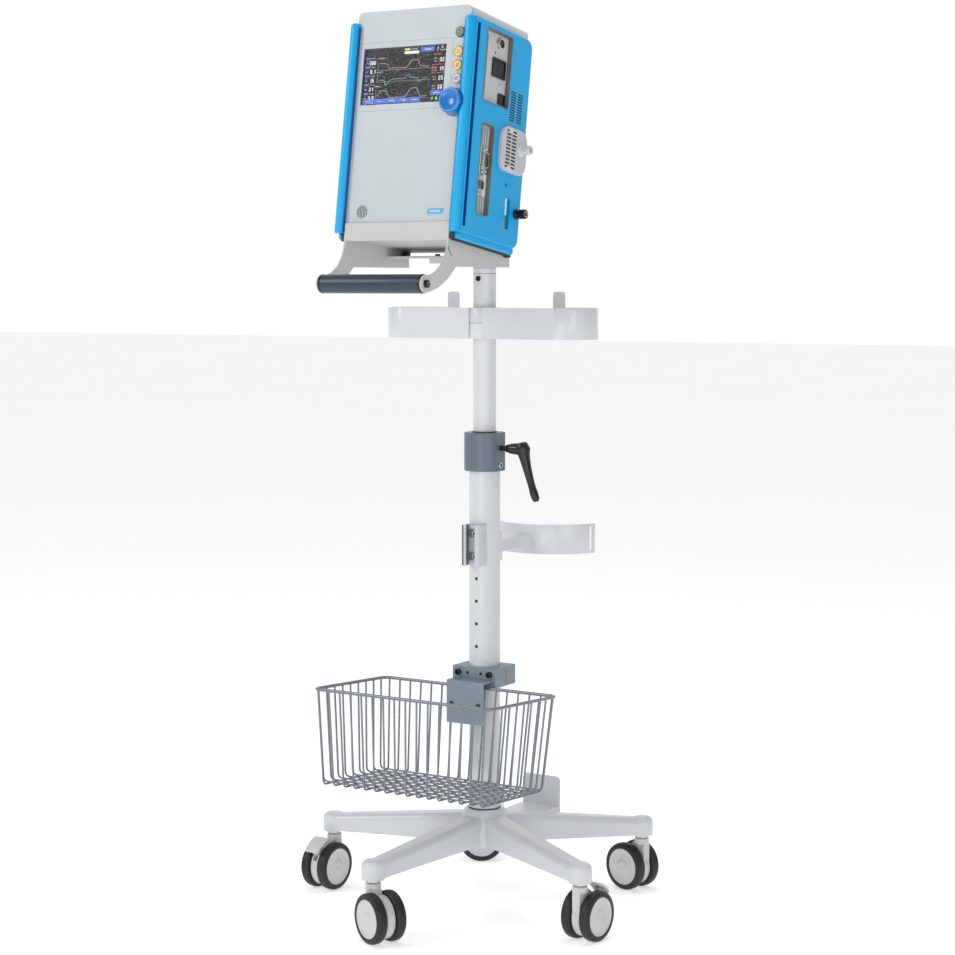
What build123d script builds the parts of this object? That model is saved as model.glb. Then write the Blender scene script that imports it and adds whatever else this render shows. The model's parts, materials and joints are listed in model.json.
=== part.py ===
from build123d import *
import math
import os

# Bedside monitor on a wheeled telescopic stand.
# The model is built about the mast axis: X to the viewer's right, -Y to the front, Z up from the floor.
# The last step moves everything so that the origin lies under the middle of the whole object.

# ---------- driving dimensions (mm) ----------
ORIGIN_SHIFT_X = 9.7          # mast axis, seen from the middle of the object's box
ORIGIN_SHIFT_Y = 29.3

# base
ARM_COUNT = 5
FIRST_ARM_ANGLE = 190.5       # degrees from +X
ARM_REACH = 258.0             # mast axis to caster stem axis
ARM_ROOT = 30.0
ARM_ROOT_Z = (98.0, 141.0)
ARM_END_Z = (92.0, 117.0)
ARM_ROOT_WIDTH = 42.0
ARM_END_WIDTH = 32.0
ARM_WALL = 3.5
BOSS_DIA = 35.0
BOSS_BOTTOM_Z = 90.0
BOSS_TOP_Z = 119.0
HUB_TOP_Z = 150.0
HUB_FLOOR_Z = 96.0
HUB_BOLT_DIA = 12.0

# casters
WHEEL_DIA = 75.0
WHEEL_WIDTH = 17.0
TYRE_THICKNESS = 8.7
WEB_WIDTH = 13.0
WHEEL_GAP = 1.0
CASTER_TRAIL = 20.0
AXLE_DIA = 8.0
STEM_DIA = 11.0
STEM_TOP_Z = 110.0
STEM_BOTTOM_Z = 62.0
NECK_DIA = 23.0
NECK_Z = (75.6, 84.7)
RUNNING_CLEARANCE = 0.05      # radial
TRAIL_ANGLES = (266.6, 335.5, 85.0, 165.0, 212.0)
BRAKED_CASTERS = (1, 3)       # counted from 1, in the order of the arms
PEDAL_PIN_DIA = 4.0
PEDAL_PIVOT = (36.0, 57.0)     # along the trail, and height

# mast
LOWER_TUBE_DIA = 48.0
UPPER_TUBE_DIA = 35.0
TUBE_WALL = 2.0
LOWER_TUBE_TOP_Z = 686.0
LOWER_TUBE_BOTTOM_Z = 101.0      # in the star's hub
UPPER_TUBE_Z = (400.0, 971.0)
MAST_LIFT = 13.0               # added to every height from the mast upwards, above the star
TUBE_HOLE_DIA = 4.5
TUBE_HOLE_FIRST_Z = 392.0
TUBE_HOLE_PITCH = 35.0
TUBE_HOLE_COUNT = 6
BUSH_LENGTH = 60.0
COLLAR_DIA = 63.0
COLLAR_Z = (662.0, 721.0)
COLLAR_FLAT_X = 29.0          # flat on the collar's right side, where the clamp lever enters
COLLAR_SCREW_DIA = 5.0
COLLAR_SCREW_Z = 671.0
LEVER_Z = 697.0
LEVER_SLOPE = 17.0            # degrees that the handle leans out from straight down
LEVER_HUB_X = 68.5
LEVER_REACH = 83.0
STUD_DIA = 8.0

# rail bracket
RAIL_Z = (518.0, 581.0)
RAIL_WIDTH = 30.0
RAIL_DEPTH = 18.0
SHEET = 3.0                   # thickness of every bent steel strip and plate

# cylinder cradle
CRADLE_Z = (521.0, 568.0)
CRADLE_RADIUS = 92.0
CRADLE_CENTRE_Y = 214.0
CRADLE_HALF_ANGLE = 73.0
CRADLE_SLOT = (5.0, 38.0)
CRADLE_BAR_Z = (532.0, 550.0)

# foot bracket
FOOT_PLATE_Z = 116.0
FOOT_UPRIGHT_Y = 174.0
FOOT_UPRIGHT_WIDTH = 68.0
FOOT_UPRIGHT_TOP_Z = 167.0

# hose hook strip
HOOK_Z = (864.0, 911.0)
HOOK_FRONT_Y = -27.0
HOOK_BEND_RADIUS = 45.0
HOOK_BEND_X = 136.0
HOOK_TAB_X = 95.5
HOOK_TAB_WIDTH = 20.0
HOOK_TAB_TOP_Z = 935.0
HOOK_CLAMP_DIA = 54.0

# basket
BASKET_LENGTH = 310.0
BASKET_WIDTH = 190.0
BASKET_HEIGHT = 143.0
BASKET_BACK_Y = -45.0
BASKET_RIM_Z = 333.0          # at the back
BASKET_TILT = -3.3            # degrees about X: front edge up
BASKET_TAPER = 9.0            # each wall leans in by this much at the floor
BASKET_BEND = 8.0
RIM_WIRE_DIA = 5.0
WIRE_DIA = 3.0
LONG_SIDE_WIRES = 16
SHORT_SIDE_WIRES = 9

# basket clamp
CLAMP_Z = (331.0, 361.0)
CLAMP_WIDTH = 77.0
CLAMP_FRONT_Y = -31.0
CLAMP_REAR_Y = 28.0
CLAMP_SCREW_X = 28.0
CLAMP_SCREW_Z = 351.5
PIN_HOLE_X = 12.0
SPLIT_GAP = 0.6                # between each half and the mast axis plane
HANGER_Z = (277.0, 340.0)
HANGER_WIDTH = 66.0
HANGER_DROP_Y = (-57.5, -54.5)

# tray and grip
TRAY_HALF_WIDTH = 90.0
TRAY_LOWER_Z = 971.0
TRAY_REAR_Y = -76.0
HEAD_TOP_Z = 985.0             # mast head
HEAD_SCREW_Z = 955.0
TONGUE_FRONT_Y = -128.0        # tongue that carries the tray
TRAY_FLANGE_V = (-12.0, 15.0)  # upstand below the face, in the monitor's own frame
GRIP_Y = -300.0
GRIP_Z = 947.0
GRIP_DIA = 27.0
GRIP_EYE_RADIUS = 12.5

# monitor
LEAN = 8.5                    # degrees that the whole monitor leans back
FACE_FOOT_Y = -238.0          # lower edge of the front face
FACE_FOOT_Z = 1020.0
CASE_HALF_WIDTH = 97.0
CASE_HEIGHT = 324.0
CASE_DEPTH = 158.0
CASE_WALL = 3.0
PANEL_THICKNESS = 6.0
COVER_HALF_WIDTH = 107.0
COVER_HEIGHT = 308.0
SKIRT_DROP = 9.0               # lower lip of the side covers
SKIN = 3.5                     # outer wall of the hollow side covers
POST_INNER_X = 91.5
POST_PROUD = 10.0
SCREEN_U = (-83.0, 59.5)
SCREEN_V = (187.0, 270.0)
BUTTON_U = 82.0
BUTTON_V = (285.0, 257.0, 237.5, 218.5)
BUTTON_DIA = 15.0
KNOB_U = 81.0
KNOB_V = 185.0
KNOB_DIA = 36.0
ENCODER_SHAFT_DIA = 8.0
SPEAKER_UV = (-64.0, 31.0)
UPPER_PANEL_D = (30.0, 102.0)     # depth behind the front face
UPPER_PANEL_H = (194.0, 300.0)    # height along the side
LOWER_PANEL_D = (35.0, 70.0)
LOWER_PANEL_H = (32.0, 164.0)
SQUARE_SOCKETS = [(59.0, 93.0, 236.0, 262.0), (80.0, 97.0, 199.0, 214.0),
                  (49.0, 65.0, 95.5, 129.0), (44.0, 56.0, 63.0, 88.0)]
ROUND_SOCKET = (75.0, 285.0, 8.0)    # depth, height, radius
VENT_D = (107.0, 126.0)
VENT_H = (182.0, 223.0)
VALVE_D = (84.0, 154.0)
VALVE_H = (105.0, 171.0)
VALVE_PORT_DH = (136.0, 142.0)
GAS_INLET_DH = (145.0, 50.0)
PORT_SEAT_DIA = 16.0
VALVE_PORT_BORE = 8.0
GAS_INLET_BORE = 5.0
WINDOW_D = (114.0, 128.0)
WINDOW_H = (24.0, 70.0)
BOARD_Y = 60.0
BOARD_THICKNESS = 1.6


# ---------- helpers ----------
def block(x0, x1, y0, y1, z0, z1):
    """A box given by its six faces."""
    middle = Pos((x0 + x1) / 2, (y0 + y1) / 2, (z0 + z1) / 2)
    return middle * Box(x1 - x0, y1 - y0, z1 - z0)


def rod_z(radius, z0, z1, x=0.0, y=0.0):
    return Pos(x, y, (z0 + z1) / 2) * Cylinder(radius, z1 - z0)


def rod_x(radius, x0, x1, y=0.0, z=0.0):
    return Pos((x0 + x1) / 2, y, z) * Rot(0, 90, 0) * Cylinder(radius, x1 - x0)


def rod_y(radius, y0, y1, x=0.0, z=0.0):
    return Pos(x, (y0 + y1) / 2, z) * Rot(90, 0, 0) * Cylinder(radius, y1 - y0)


def round_bar(start, end, radius):
    """A straight round bar between two points."""
    path = Line(start, end)
    return sweep(Plane(origin=start, z_dir=path % 0) * Circle(radius), path=path)


def socket_screw(head_dia, head_height, shank_dia, shank_length):
    """Head above z = 0, shank below it, with a hexagon socket."""
    head = fillet(rod_z(head_dia / 2, 0, head_height).edges().group_by(Axis.Z)[-1], head_height * 0.15)
    key = extrude(RegularPolygon(head_dia * 0.27, 6), amount=head_height * 0.6)
    return head - Pos(0, 0, head_height * 0.4 + 0.01) * key + rod_z(shank_dia / 2, -shank_length, 0)


AT_ORIGIN = Pos(ORIGIN_SHIFT_X, ORIGIN_SHIFT_Y, 0)
MONITOR_FRAME = Pos(0, FACE_FOOT_Y, FACE_FOOT_Z) * Rot(-LEAN, 0, 0)
PARTS = {}
BASE_NODES = ("star_base", "caster_", "brake_pedal_", "wheel_cores_", "tyres_", "foot_bracket")


def keep(name, *shapes):
    """Files one node, moved from the mast axis to the object's origin."""
    solids = []
    for shape in shapes:
        solids.extend(shape.solids())
    place = AT_ORIGIN if name.startswith(BASE_NODES) else AT_ORIGIN * Pos(0, 0, MAST_LIFT)
    PARTS[name] = place * Compound(children=solids) if len(solids) > 1 else place * solids[0]


def keep_monitor(name, *shapes):
    keep(name, *[MONITOR_FRAME * shape for shape in shapes])


# ---------- base ----------
def arm_section(x, width, z0, z1, corner):
    outline = Pos(0, (z0 + z1) / 2) * Rectangle(width, z1 - z0)
    top = outline.vertices().group_by(Axis.Y)[-1]
    return Plane(origin=(x, 0, 0), x_dir=(0, 1, 0), z_dir=(1, 0, 0)) * fillet(top, corner)


def star_arm():
    """One arm along +X, hollow from below."""
    top_corner = 10.0
    outer = loft([
        arm_section(ARM_ROOT, ARM_ROOT_WIDTH, *ARM_ROOT_Z, top_corner),
        arm_section(ARM_REACH, ARM_END_WIDTH, *ARM_END_Z, top_corner)])
    hollow_start, hollow_end, below = 50.0, ARM_REACH - 24.0, 6.0
    hollow = loft([
        arm_section(hollow_start, ARM_ROOT_WIDTH - 2.6 * ARM_WALL, ARM_ROOT_Z[0] - below,
                    ARM_ROOT_Z[1] - 2.6 * ARM_WALL, top_corner - ARM_WALL),
        arm_section(hollow_end, ARM_END_WIDTH - 2 * ARM_WALL, ARM_END_Z[0] - below,
                    ARM_END_Z[1] - ARM_WALL, top_corner - ARM_WALL)])
    boss = fillet(rod_z(BOSS_DIA / 2, BOSS_BOTTOM_Z, BOSS_TOP_Z, ARM_REACH).edges().group_by(Axis.Z)[-1], 9.0)
    return outer - hollow + boss


def star_base():
    hub_outline = Polyline(
        (0, HUB_FLOOR_Z), (43, HUB_FLOOR_Z), (43, 112), (38, 134), (32, HUB_TOP_Z - 3),
        (29, HUB_TOP_Z), (0, HUB_TOP_Z), (0, HUB_FLOOR_Z))
    hub = revolve(Plane.XZ * make_face(hub_outline), Axis.Z)
    arms = [Rot(0, 0, angle) * star_arm() for angle in ARM_ANGLES]
    body = hub.fuse(*arms)
    body -= rod_z(LOWER_TUBE_DIA / 2, LOWER_TUBE_BOTTOM_Z, HUB_TOP_Z + 1)
    body -= rod_z(HUB_BOLT_DIA / 2 + 0.25, HUB_FLOOR_Z - 1, LOWER_TUBE_BOTTOM_Z + 1)
    for x, y in STEM_POINTS:
        body -= rod_z(STEM_DIA / 2, BOSS_BOTTOM_Z - 1, STEM_TOP_Z, x, y)
    return body


def caster_stem():
    """Threaded stem with the hexagon collar that shows under the arm's boss."""
    collar_across_corners = 17.0
    collar = extrude(RegularPolygon(collar_across_corners / 2, 6), amount=5.0)
    return Pos(0, 0, BOSS_BOTTOM_Z - 5.0) * collar + rod_z(STEM_DIA / 2, STEM_BOTTOM_Z, STEM_TOP_Z)


ARM_ANGLES = [FIRST_ARM_ANGLE + index * 360.0 / ARM_COUNT for index in range(ARM_COUNT)]
STEM_POINTS = [(ARM_REACH * math.cos(math.radians(a)), ARM_REACH * math.sin(math.radians(a)))
               for a in ARM_ANGLES]

STAR = star_base()
keep("star_base", STAR)
keep("caster_stems", *[Pos(x, y, 0) * caster_stem() for x, y in STEM_POINTS])


# ---------- casters ----------
# In its own frame a caster swivels about Z and trails along +X.
WHEEL_RADIUS = WHEEL_DIA / 2
WHEEL_INNER_Y = WEB_WIDTH / 2 + WHEEL_GAP


def arc_sector(inner, outer, start, end, width):
    """Curved block about the wheel's centre, from one angle to another above +X."""
    centre = (CASTER_TRAIL, WHEEL_RADIUS)

    def at(radius, angle):
        turn = math.radians(angle)
        return (centre[0] + radius * math.cos(turn), centre[1] + radius * math.sin(turn))

    middle = (start + end) / 2
    outline = (Line(at(inner, start), at(outer, start))
               + ThreePointArc(at(outer, start), at(outer, middle), at(outer, end))
               + Line(at(outer, end), at(inner, end))
               + ThreePointArc(at(inner, end), at(inner, middle), at(inner, start)))
    return extrude(Plane.XZ * make_face(outline), amount=width / 2, both=True)


def caster_frame(braked):
    web_radius = 32.0
    web = rod_y(web_radius, -WEB_WIDTH / 2, WEB_WIDTH / 2, CASTER_TRAIL, WHEEL_RADIUS)
    shoulder = block(-NECK_DIA / 2 + 1, 14, -WEB_WIDTH / 2, WEB_WIDTH / 2, 48, NECK_Z[0] + 1)
    neck = chamfer(rod_z(NECK_DIA / 2, *NECK_Z).edges().group_by(Axis.Z)[-1], 1.0)
    body = web + shoulder + neck - rod_z(STEM_DIA / 2 + RUNNING_CLEARANCE, STEM_BOTTOM_Z - 1, 90)
    body -= rod_y(AXLE_DIA / 2, -WEB_WIDTH, WEB_WIDTH, CASTER_TRAIL, WHEEL_RADIUS)
    if braked:
        body -= arc_sector(13.0, 60.0, 22.0, 68.0, 7.0)
    return body


def caster_axle():
    reach = WHEEL_INNER_Y + WHEEL_WIDTH - 3.0
    return rod_y(AXLE_DIA / 2, -reach, reach, CASTER_TRAIL, WHEEL_RADIUS)


def pedal_pin():
    return rod_y(PEDAL_PIN_DIA / 2, -WEB_WIDTH / 2, WEB_WIDTH / 2, *PEDAL_PIVOT)


def wheel_ring(inner, outer, rounding):
    """Ring about the axle, between the two faces of the +Y wheel."""
    ring = rod_y(outer, WHEEL_INNER_Y, WHEEL_INNER_Y + WHEEL_WIDTH, CASTER_TRAIL, WHEEL_RADIUS)
    ring = fillet(ring.edges().filter_by(GeomType.CIRCLE), rounding)
    return ring - rod_y(inner, WHEEL_INNER_Y - 1, WHEEL_INNER_Y + WHEEL_WIDTH + 1, CASTER_TRAIL, WHEEL_RADIUS)


def wheel_core():
    core_radius = WHEEL_RADIUS - TYRE_THICKNESS
    core = rod_y(core_radius, WHEEL_INNER_Y + 0.5, WHEEL_INNER_Y + WHEEL_WIDTH - 0.5,
                 CASTER_TRAIL, WHEEL_RADIUS)
    bore_end = WHEEL_INNER_Y + WHEEL_WIDTH - 2.8
    return core - rod_y(AXLE_DIA / 2 + RUNNING_CLEARANCE, 0, bore_end, CASTER_TRAIL, WHEEL_RADIUS)


def brake_pedal():
    """Curved foot plate over the tyres, on an arm that turns in the web's slot."""
    plate = arc_sector(44.0, 48.0, 36.0, 76.0, 26.0)
    arm = arc_sector(16.0, 44.5, 38.0, 52.0, 6.4)
    return plate + arm - rod_y(PEDAL_PIN_DIA / 2 + RUNNING_CLEARANCE, -10, 10, *PEDAL_PIVOT)


def mirrored_pair(shape):
    return [shape, mirror(shape, Plane.XZ)]


for number, ((x, y), trail) in enumerate(zip(STEM_POINTS, TRAIL_ANGLES), start=1):
    place = Pos(x, y, 0) * Rot(0, 0, trail)
    braked = number in BRAKED_CASTERS
    frame_solids = [caster_frame(braked), caster_axle()]
    if braked:
        frame_solids.append(pedal_pin())
        pin_hole = rod_y(PEDAL_PIN_DIA / 2, -10, 10, *PEDAL_PIVOT)
        frame_solids[0] -= pin_hole
        keep(f"brake_pedal_{number}", place * brake_pedal())
    keep(f"caster_frame_{number}", *[place * solid for solid in frame_solids])
    keep(f"wheel_cores_{number}", *[place * solid for solid in mirrored_pair(wheel_core())])
    tyre = wheel_ring(WHEEL_RADIUS - TYRE_THICKNESS, WHEEL_RADIUS, 5.0)
    keep(f"tyres_{number}", *[place * solid for solid in mirrored_pair(tyre)])


# ---------- mast ----------
TUBE_HOLE_Z = [TUBE_HOLE_FIRST_Z + index * TUBE_HOLE_PITCH for index in range(TUBE_HOLE_COUNT)]
RAIL_HOLE_Z = TUBE_HOLE_Z[-2:]


def tube(diameter, z0, z1):
    return rod_z(diameter / 2, z0, z1) - rod_z(diameter / 2 - TUBE_WALL, z0 - 1, z1 + 1)


def lower_tube():
    body = tube(LOWER_TUBE_DIA, LOWER_TUBE_BOTTOM_Z - MAST_LIFT, LOWER_TUBE_TOP_Z)
    for z in TUBE_HOLE_Z:
        body -= rod_y(TUBE_HOLE_DIA / 2, -LOWER_TUBE_DIA, 0, 0, z)
    return body


def guide_bush():
    """Turns in the lower tube and lets the upper tube slide in it."""
    outer = LOWER_TUBE_DIA / 2 - TUBE_WALL - RUNNING_CLEARANCE
    inner = UPPER_TUBE_DIA / 2 + RUNNING_CLEARANCE
    z0, z1 = LOWER_TUBE_TOP_Z - BUSH_LENGTH, LOWER_TUBE_TOP_Z
    return rod_z(outer, z0, z1) - rod_z(inner, z0 - 1, z1 + 1)


def clamp_collar():
    """Stepped collar on the lower tube's end, with a flat where the clamp stud enters."""
    step_z = LOWER_TUBE_TOP_Z + 0.4
    body = rod_z(COLLAR_DIA / 2, *COLLAR_Z)
    rims = body.edges().group_by(Axis.Z)[0] + body.edges().group_by(Axis.Z)[-1]
    body = fillet(rims, 1.5)
    body &= block(-COLLAR_DIA, COLLAR_FLAT_X, -COLLAR_DIA, COLLAR_DIA, *COLLAR_Z)
    body -= rod_z(LOWER_TUBE_DIA / 2, COLLAR_Z[0] - 1, step_z)
    body -= rod_z(UPPER_TUBE_DIA / 2 + 0.3, step_z - 1, COLLAR_Z[1] + 1)
    body -= rod_x(STUD_DIA / 2 + RUNNING_CLEARANCE, 0, COLLAR_DIA, 0, LEVER_Z)
    return body - rod_x(COLLAR_SCREW_DIA / 2 + 0.1, 0, COLLAR_DIA, 0, COLLAR_SCREW_Z)


def clamp_lever():
    """Stud, cone hub and sloping handle of the tube clamp; it turns about the stud."""
    stud = rod_x(STUD_DIA / 2, UPPER_TUBE_DIA / 2 + 0.3, LEVER_HUB_X, 0, LEVER_Z)
    cone = Pos(LEVER_HUB_X - 19, 0, LEVER_Z) * Rot(0, 90, 0) * Cone(6.0, 9.0, 20.0)
    neck = rod_x(8.5, LEVER_HUB_X - 9.5, LEVER_HUB_X, 0, LEVER_Z)
    knuckle = Pos(LEVER_HUB_X, 0, LEVER_Z) * Sphere(10.5)
    slope = math.radians(LEVER_SLOPE)
    tip_length = 20.0
    handle_plane = Plane(origin=(LEVER_HUB_X, 0, LEVER_Z), x_dir=(0, 1, 0),
                         z_dir=(math.sin(slope), 0, -math.cos(slope)))
    blade_end = handle_plane.offset(LEVER_REACH - tip_length)
    blade = loft([handle_plane.offset(3.0) * RectangleRounded(17, 15, 5),
                  blade_end * RectangleRounded(11, 10, 4)])
    tip = extrude(blade_end * RectangleRounded(13, 12, 5), amount=tip_length)
    return stud + cone + neck + knuckle + blade + tip


TONGUE_SCREWS = [(x, y) for x in (-10.0, 10.0) for y in (-116.0, -88.0)]


def mast_head():
    """Plug in the upper tube, collar on it, and the tongue that carries the tray."""
    plug = rod_z(UPPER_TUBE_DIA / 2 - TUBE_WALL, 930.0, UPPER_TUBE_Z[1] + 1)
    collar = rod_z(UPPER_TUBE_DIA / 2, UPPER_TUBE_Z[1], HEAD_TOP_Z)
    tongue = block(-17.0, 17.0, TONGUE_FRONT_Y, 0.0, HEAD_TOP_Z - 8.0, HEAD_TOP_Z)
    body = plug + collar + tongue - rod_y(2.5, -40, 0, 0, HEAD_SCREW_Z)
    for x, y in TONGUE_SCREWS:
        body -= rod_z(2.0, HEAD_TOP_Z - 9, HEAD_TOP_Z + 1, x, y)
    return body


def upper_tube():
    return tube(UPPER_TUBE_DIA, *UPPER_TUBE_Z) - rod_y(2.5, -40, 0, 0, HEAD_SCREW_Z)


keep("lower_tube", lower_tube())
keep("guide_bush", guide_bush())
keep("clamp_collar", clamp_collar())
keep("clamp_lever", clamp_lever())
keep("upper_tube", upper_tube())
keep("mast_head", mast_head())


# ---------- accessories on the lower tube ----------
def saddle(x_half, y0, y1, z0, z1):
    """Block hollowed to sit on the lower tube."""
    return block(-x_half, x_half, y0, y1, z0, z1) - rod_z(LOWER_TUBE_DIA / 2, z0 - 1, z1 + 1)


def rail_bracket():
    """Upright channel open to the front, with two lips."""
    half, lip = RAIL_WIDTH / 2, 4.0
    back_y = -LOWER_TUBE_DIA / 2 - SHEET
    front_y = -LOWER_TUBE_DIA / 2 - RAIL_DEPTH
    body = saddle(half, back_y, -LOWER_TUBE_DIA / 2 + 4, *RAIL_Z)
    for side in (-1, 1):
        x0, x1 = sorted((side * half, side * (half - SHEET)))
        body += block(x0, x1, front_y, back_y, *RAIL_Z)
        x0, x1 = sorted((side * half, side * (half - SHEET - lip)))
        body += block(x0, x1, front_y, front_y + 2.5, *RAIL_Z)
    for z in RAIL_HOLE_Z:
        body -= rod_y(TUBE_HOLE_DIA / 2, -60, 0, 0, z)
    return body


def cylinder_cradle():
    """Open arc of strip on a bar, with a strap slot near each end."""
    centre = Pos(0, CRADLE_CENTRE_Y, 0)
    ring = rod_z(CRADLE_RADIUS + SHEET, *CRADLE_Z) - rod_z(CRADLE_RADIUS, CRADLE_Z[0] - 1, CRADLE_Z[1] + 1)
    reach = 300.0
    edge = math.radians(CRADLE_HALF_ANGLE)
    mouth = make_face(Polyline((0, 0), (reach * math.sin(edge), -reach * math.cos(edge)), (reach, reach),
                               (-reach, reach), (-reach * math.sin(edge), -reach * math.cos(edge)), (0, 0)))
    ring -= Pos(0, 0, CRADLE_Z[0] - 1) * extrude(mouth, amount=60)
    slot_z = sum(CRADLE_Z) / 2
    slot_angle = CRADLE_HALF_ANGLE - 5.0
    for side in (-1, 1):
        cutter = Rot(0, 0, side * slot_angle) * Pos(0, -CRADLE_RADIUS, slot_z) * Box(
            CRADLE_SLOT[0], 20, CRADLE_SLOT[1])
        ring -= cutter
    vertex_y = CRADLE_CENTRE_Y - CRADLE_RADIUS - SHEET
    bar = block(-4, 4, LOWER_TUBE_DIA / 2 + 3, vertex_y + 0.5, *CRADLE_BAR_Z)
    flare = loft([Plane(origin=(0, vertex_y - 22, sum(CRADLE_BAR_Z) / 2), x_dir=(1, 0, 0), z_dir=(0, 1, 0))
                  * Rectangle(8, 18),
                  Plane(origin=(0, vertex_y + 1.5, sum(CRADLE_BAR_Z) / 2), x_dir=(1, 0, 0), z_dir=(0, 1, 0))
                  * Rectangle(26, 18)])
    foot = saddle(15, 15, LOWER_TUBE_DIA / 2 + 4, *CRADLE_Z)
    return centre * ring + (bar + flare) - centre * rod_z(CRADLE_RADIUS, *CRADLE_Z) + foot


def foot_bracket():
    """Level plate welded to the hub between the two rear arms, with an upright at its end."""
    half = FOOT_UPRIGHT_WIDTH / 2
    outline = Polyline((2, 41), (-half, 110), (-half, FOOT_UPRIGHT_Y), (half, FOOT_UPRIGHT_Y),
                       (half, 68), (9, 41), (2, 41))
    plate = extrude(Plane.XY.offset(FOOT_PLATE_Z) * make_face(outline), amount=SHEET)
    upright_outline = Pos(0, (FOOT_PLATE_Z + FOOT_UPRIGHT_TOP_Z) / 2 - 12) * Rectangle(
        FOOT_UPRIGHT_WIDTH, FOOT_UPRIGHT_TOP_Z - FOOT_PLATE_Z + 24)
    upright_outline = fillet(upright_outline.vertices().group_by(Axis.Y)[-1], 8.0)
    upright = extrude(Plane(origin=(0, FOOT_UPRIGHT_Y + SHEET, 0), x_dir=(1, 0, 0), z_dir=(0, -1, 0))
                      * upright_outline, amount=SHEET)
    return plate + upright - STAR


keep("rail_bracket", rail_bracket())
keep("cylinder_cradle", cylinder_cradle())
keep("foot_bracket", foot_bracket())


# ---------- basket clamp and hanger ----------


def clamp_half(y0, y1):
    half = CLAMP_WIDTH / 2
    body = block(-half, half, y0, y1, *CLAMP_Z) - rod_z(LOWER_TUBE_DIA / 2, CLAMP_Z[0] - 1, CLAMP_Z[1] + 1)
    for side in (-1, 1):
        body -= rod_y(3.0, -60, 20, side * CLAMP_SCREW_X, CLAMP_SCREW_Z)
    return body


def clamp_half_front():
    body = clamp_half(CLAMP_FRONT_Y, -SPLIT_GAP)
    for side in (-1, 1):
        body -= rod_y(2.0, CLAMP_FRONT_Y - 1, CLAMP_FRONT_Y + 6, side * PIN_HOLE_X, CLAMP_SCREW_Z)
    return body


def basket_hanger():
    """Folded plate: a flange on the clamp's face, a level top, and a drop plate inside the basket."""
    half = HANGER_WIDTH / 2
    front, back = HANGER_DROP_Y
    shelf = block(-half, half, back, CLAMP_FRONT_Y, HANGER_Z[1], HANGER_Z[1] + SHEET)
    drop = block(-half, half, front, back, HANGER_Z[0], HANGER_Z[1] + SHEET)
    flange = block(-half, half, CLAMP_FRONT_Y - SHEET, CLAMP_FRONT_Y, CLAMP_Z[0], HANGER_Z[1] + SHEET)
    body = shelf + drop + flange
    for side in (-1, 1):
        body += rod_y(2.0, front - 2.5, front, side * 24.0, HANGER_Z[0] + 30)
    return body


keep("clamp_half_front", clamp_half_front())
keep("clamp_half_rear", clamp_half(SPLIT_GAP, CLAMP_REAR_Y))
keep("basket_hanger", basket_hanger())


# ---------- basket ----------
# Built level with its back rim along X at the origin, then tilted and lifted into place.
BASKET_FRAME = Pos(0, BASKET_BACK_Y, BASKET_RIM_Z) * Rot(BASKET_TILT, 0, 0)


def basket_rim():
    half, front = BASKET_LENGTH / 2, -BASKET_WIDTH
    corner = 12.0
    corners = [(-half, 0, 0), (half, 0, 0), (half, front, 0), (-half, front, 0)]
    path = FilletPolyline(*corners, radius=corner, close=True)
    return sweep(Plane(origin=path @ 0, z_dir=path % 0) * Circle(RIM_WIRE_DIA / 2), path=path)


def upright_wire(top, foot, toe):
    """One wall wire: from the rim down to the floor, with a bend and a short toe inwards."""
    path = FilletPolyline(top, foot, toe, radius=BASKET_BEND)
    return sweep(Plane(origin=top, z_dir=path % 0) * Circle(WIRE_DIA / 2), path=path)


def spread(count, half, margin):
    """Evenly spaced places between two walls."""
    step = 2 * (half - margin) / (count - 1)
    return [-half + margin + index * step for index in range(count)]


def basket_wires():
    half, front = BASKET_LENGTH / 2, -BASKET_WIDTH
    floor_z = -BASKET_HEIGHT
    shrink = (half - BASKET_TAPER) / half
    toe = 11.0
    top_z = -RIM_WIRE_DIA / 2 + 0.6
    layer = WIRE_DIA + 0.05
    uprights, floor = [], []
    for x in spread(LONG_SIDE_WIRES, half, 8.0):
        foot_x = x * shrink
        for wall_y, inward in ((0.0, -1), (front, 1)):
            foot_y = wall_y + inward * BASKET_TAPER
            uprights.append(upright_wire(
                (x, wall_y, top_z), (foot_x, foot_y, floor_z), (foot_x, foot_y + inward * toe, floor_z)))
        floor.append(round_bar((foot_x, -BASKET_TAPER - toe, floor_z),
                               (foot_x, front + BASKET_TAPER + toe, floor_z), WIRE_DIA / 2))
    middle_y = front / 2
    for y in spread(SHORT_SIDE_WIRES, BASKET_WIDTH / 2, 12.0):
        foot_y = middle_y + y * (1 - BASKET_TAPER / (BASKET_WIDTH / 2))
        for side in (-1, 1):
            foot_x = side * (half - BASKET_TAPER)
            uprights.append(upright_wire(
                (side * half, middle_y + y, top_z), (foot_x, foot_y, floor_z + layer),
                (foot_x - side * toe, foot_y, floor_z + layer)))
        floor.append(round_bar((-half + BASKET_TAPER + toe, foot_y, floor_z + layer),
                               (half - BASKET_TAPER - toe, foot_y, floor_z + layer), WIRE_DIA / 2))
    return uprights, floor


uprights, floor_wires = basket_wires()
keep("basket_rim", BASKET_FRAME * basket_rim())
keep("basket_wires", *[BASKET_FRAME * wire for wire in uprights + floor_wires])


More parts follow.
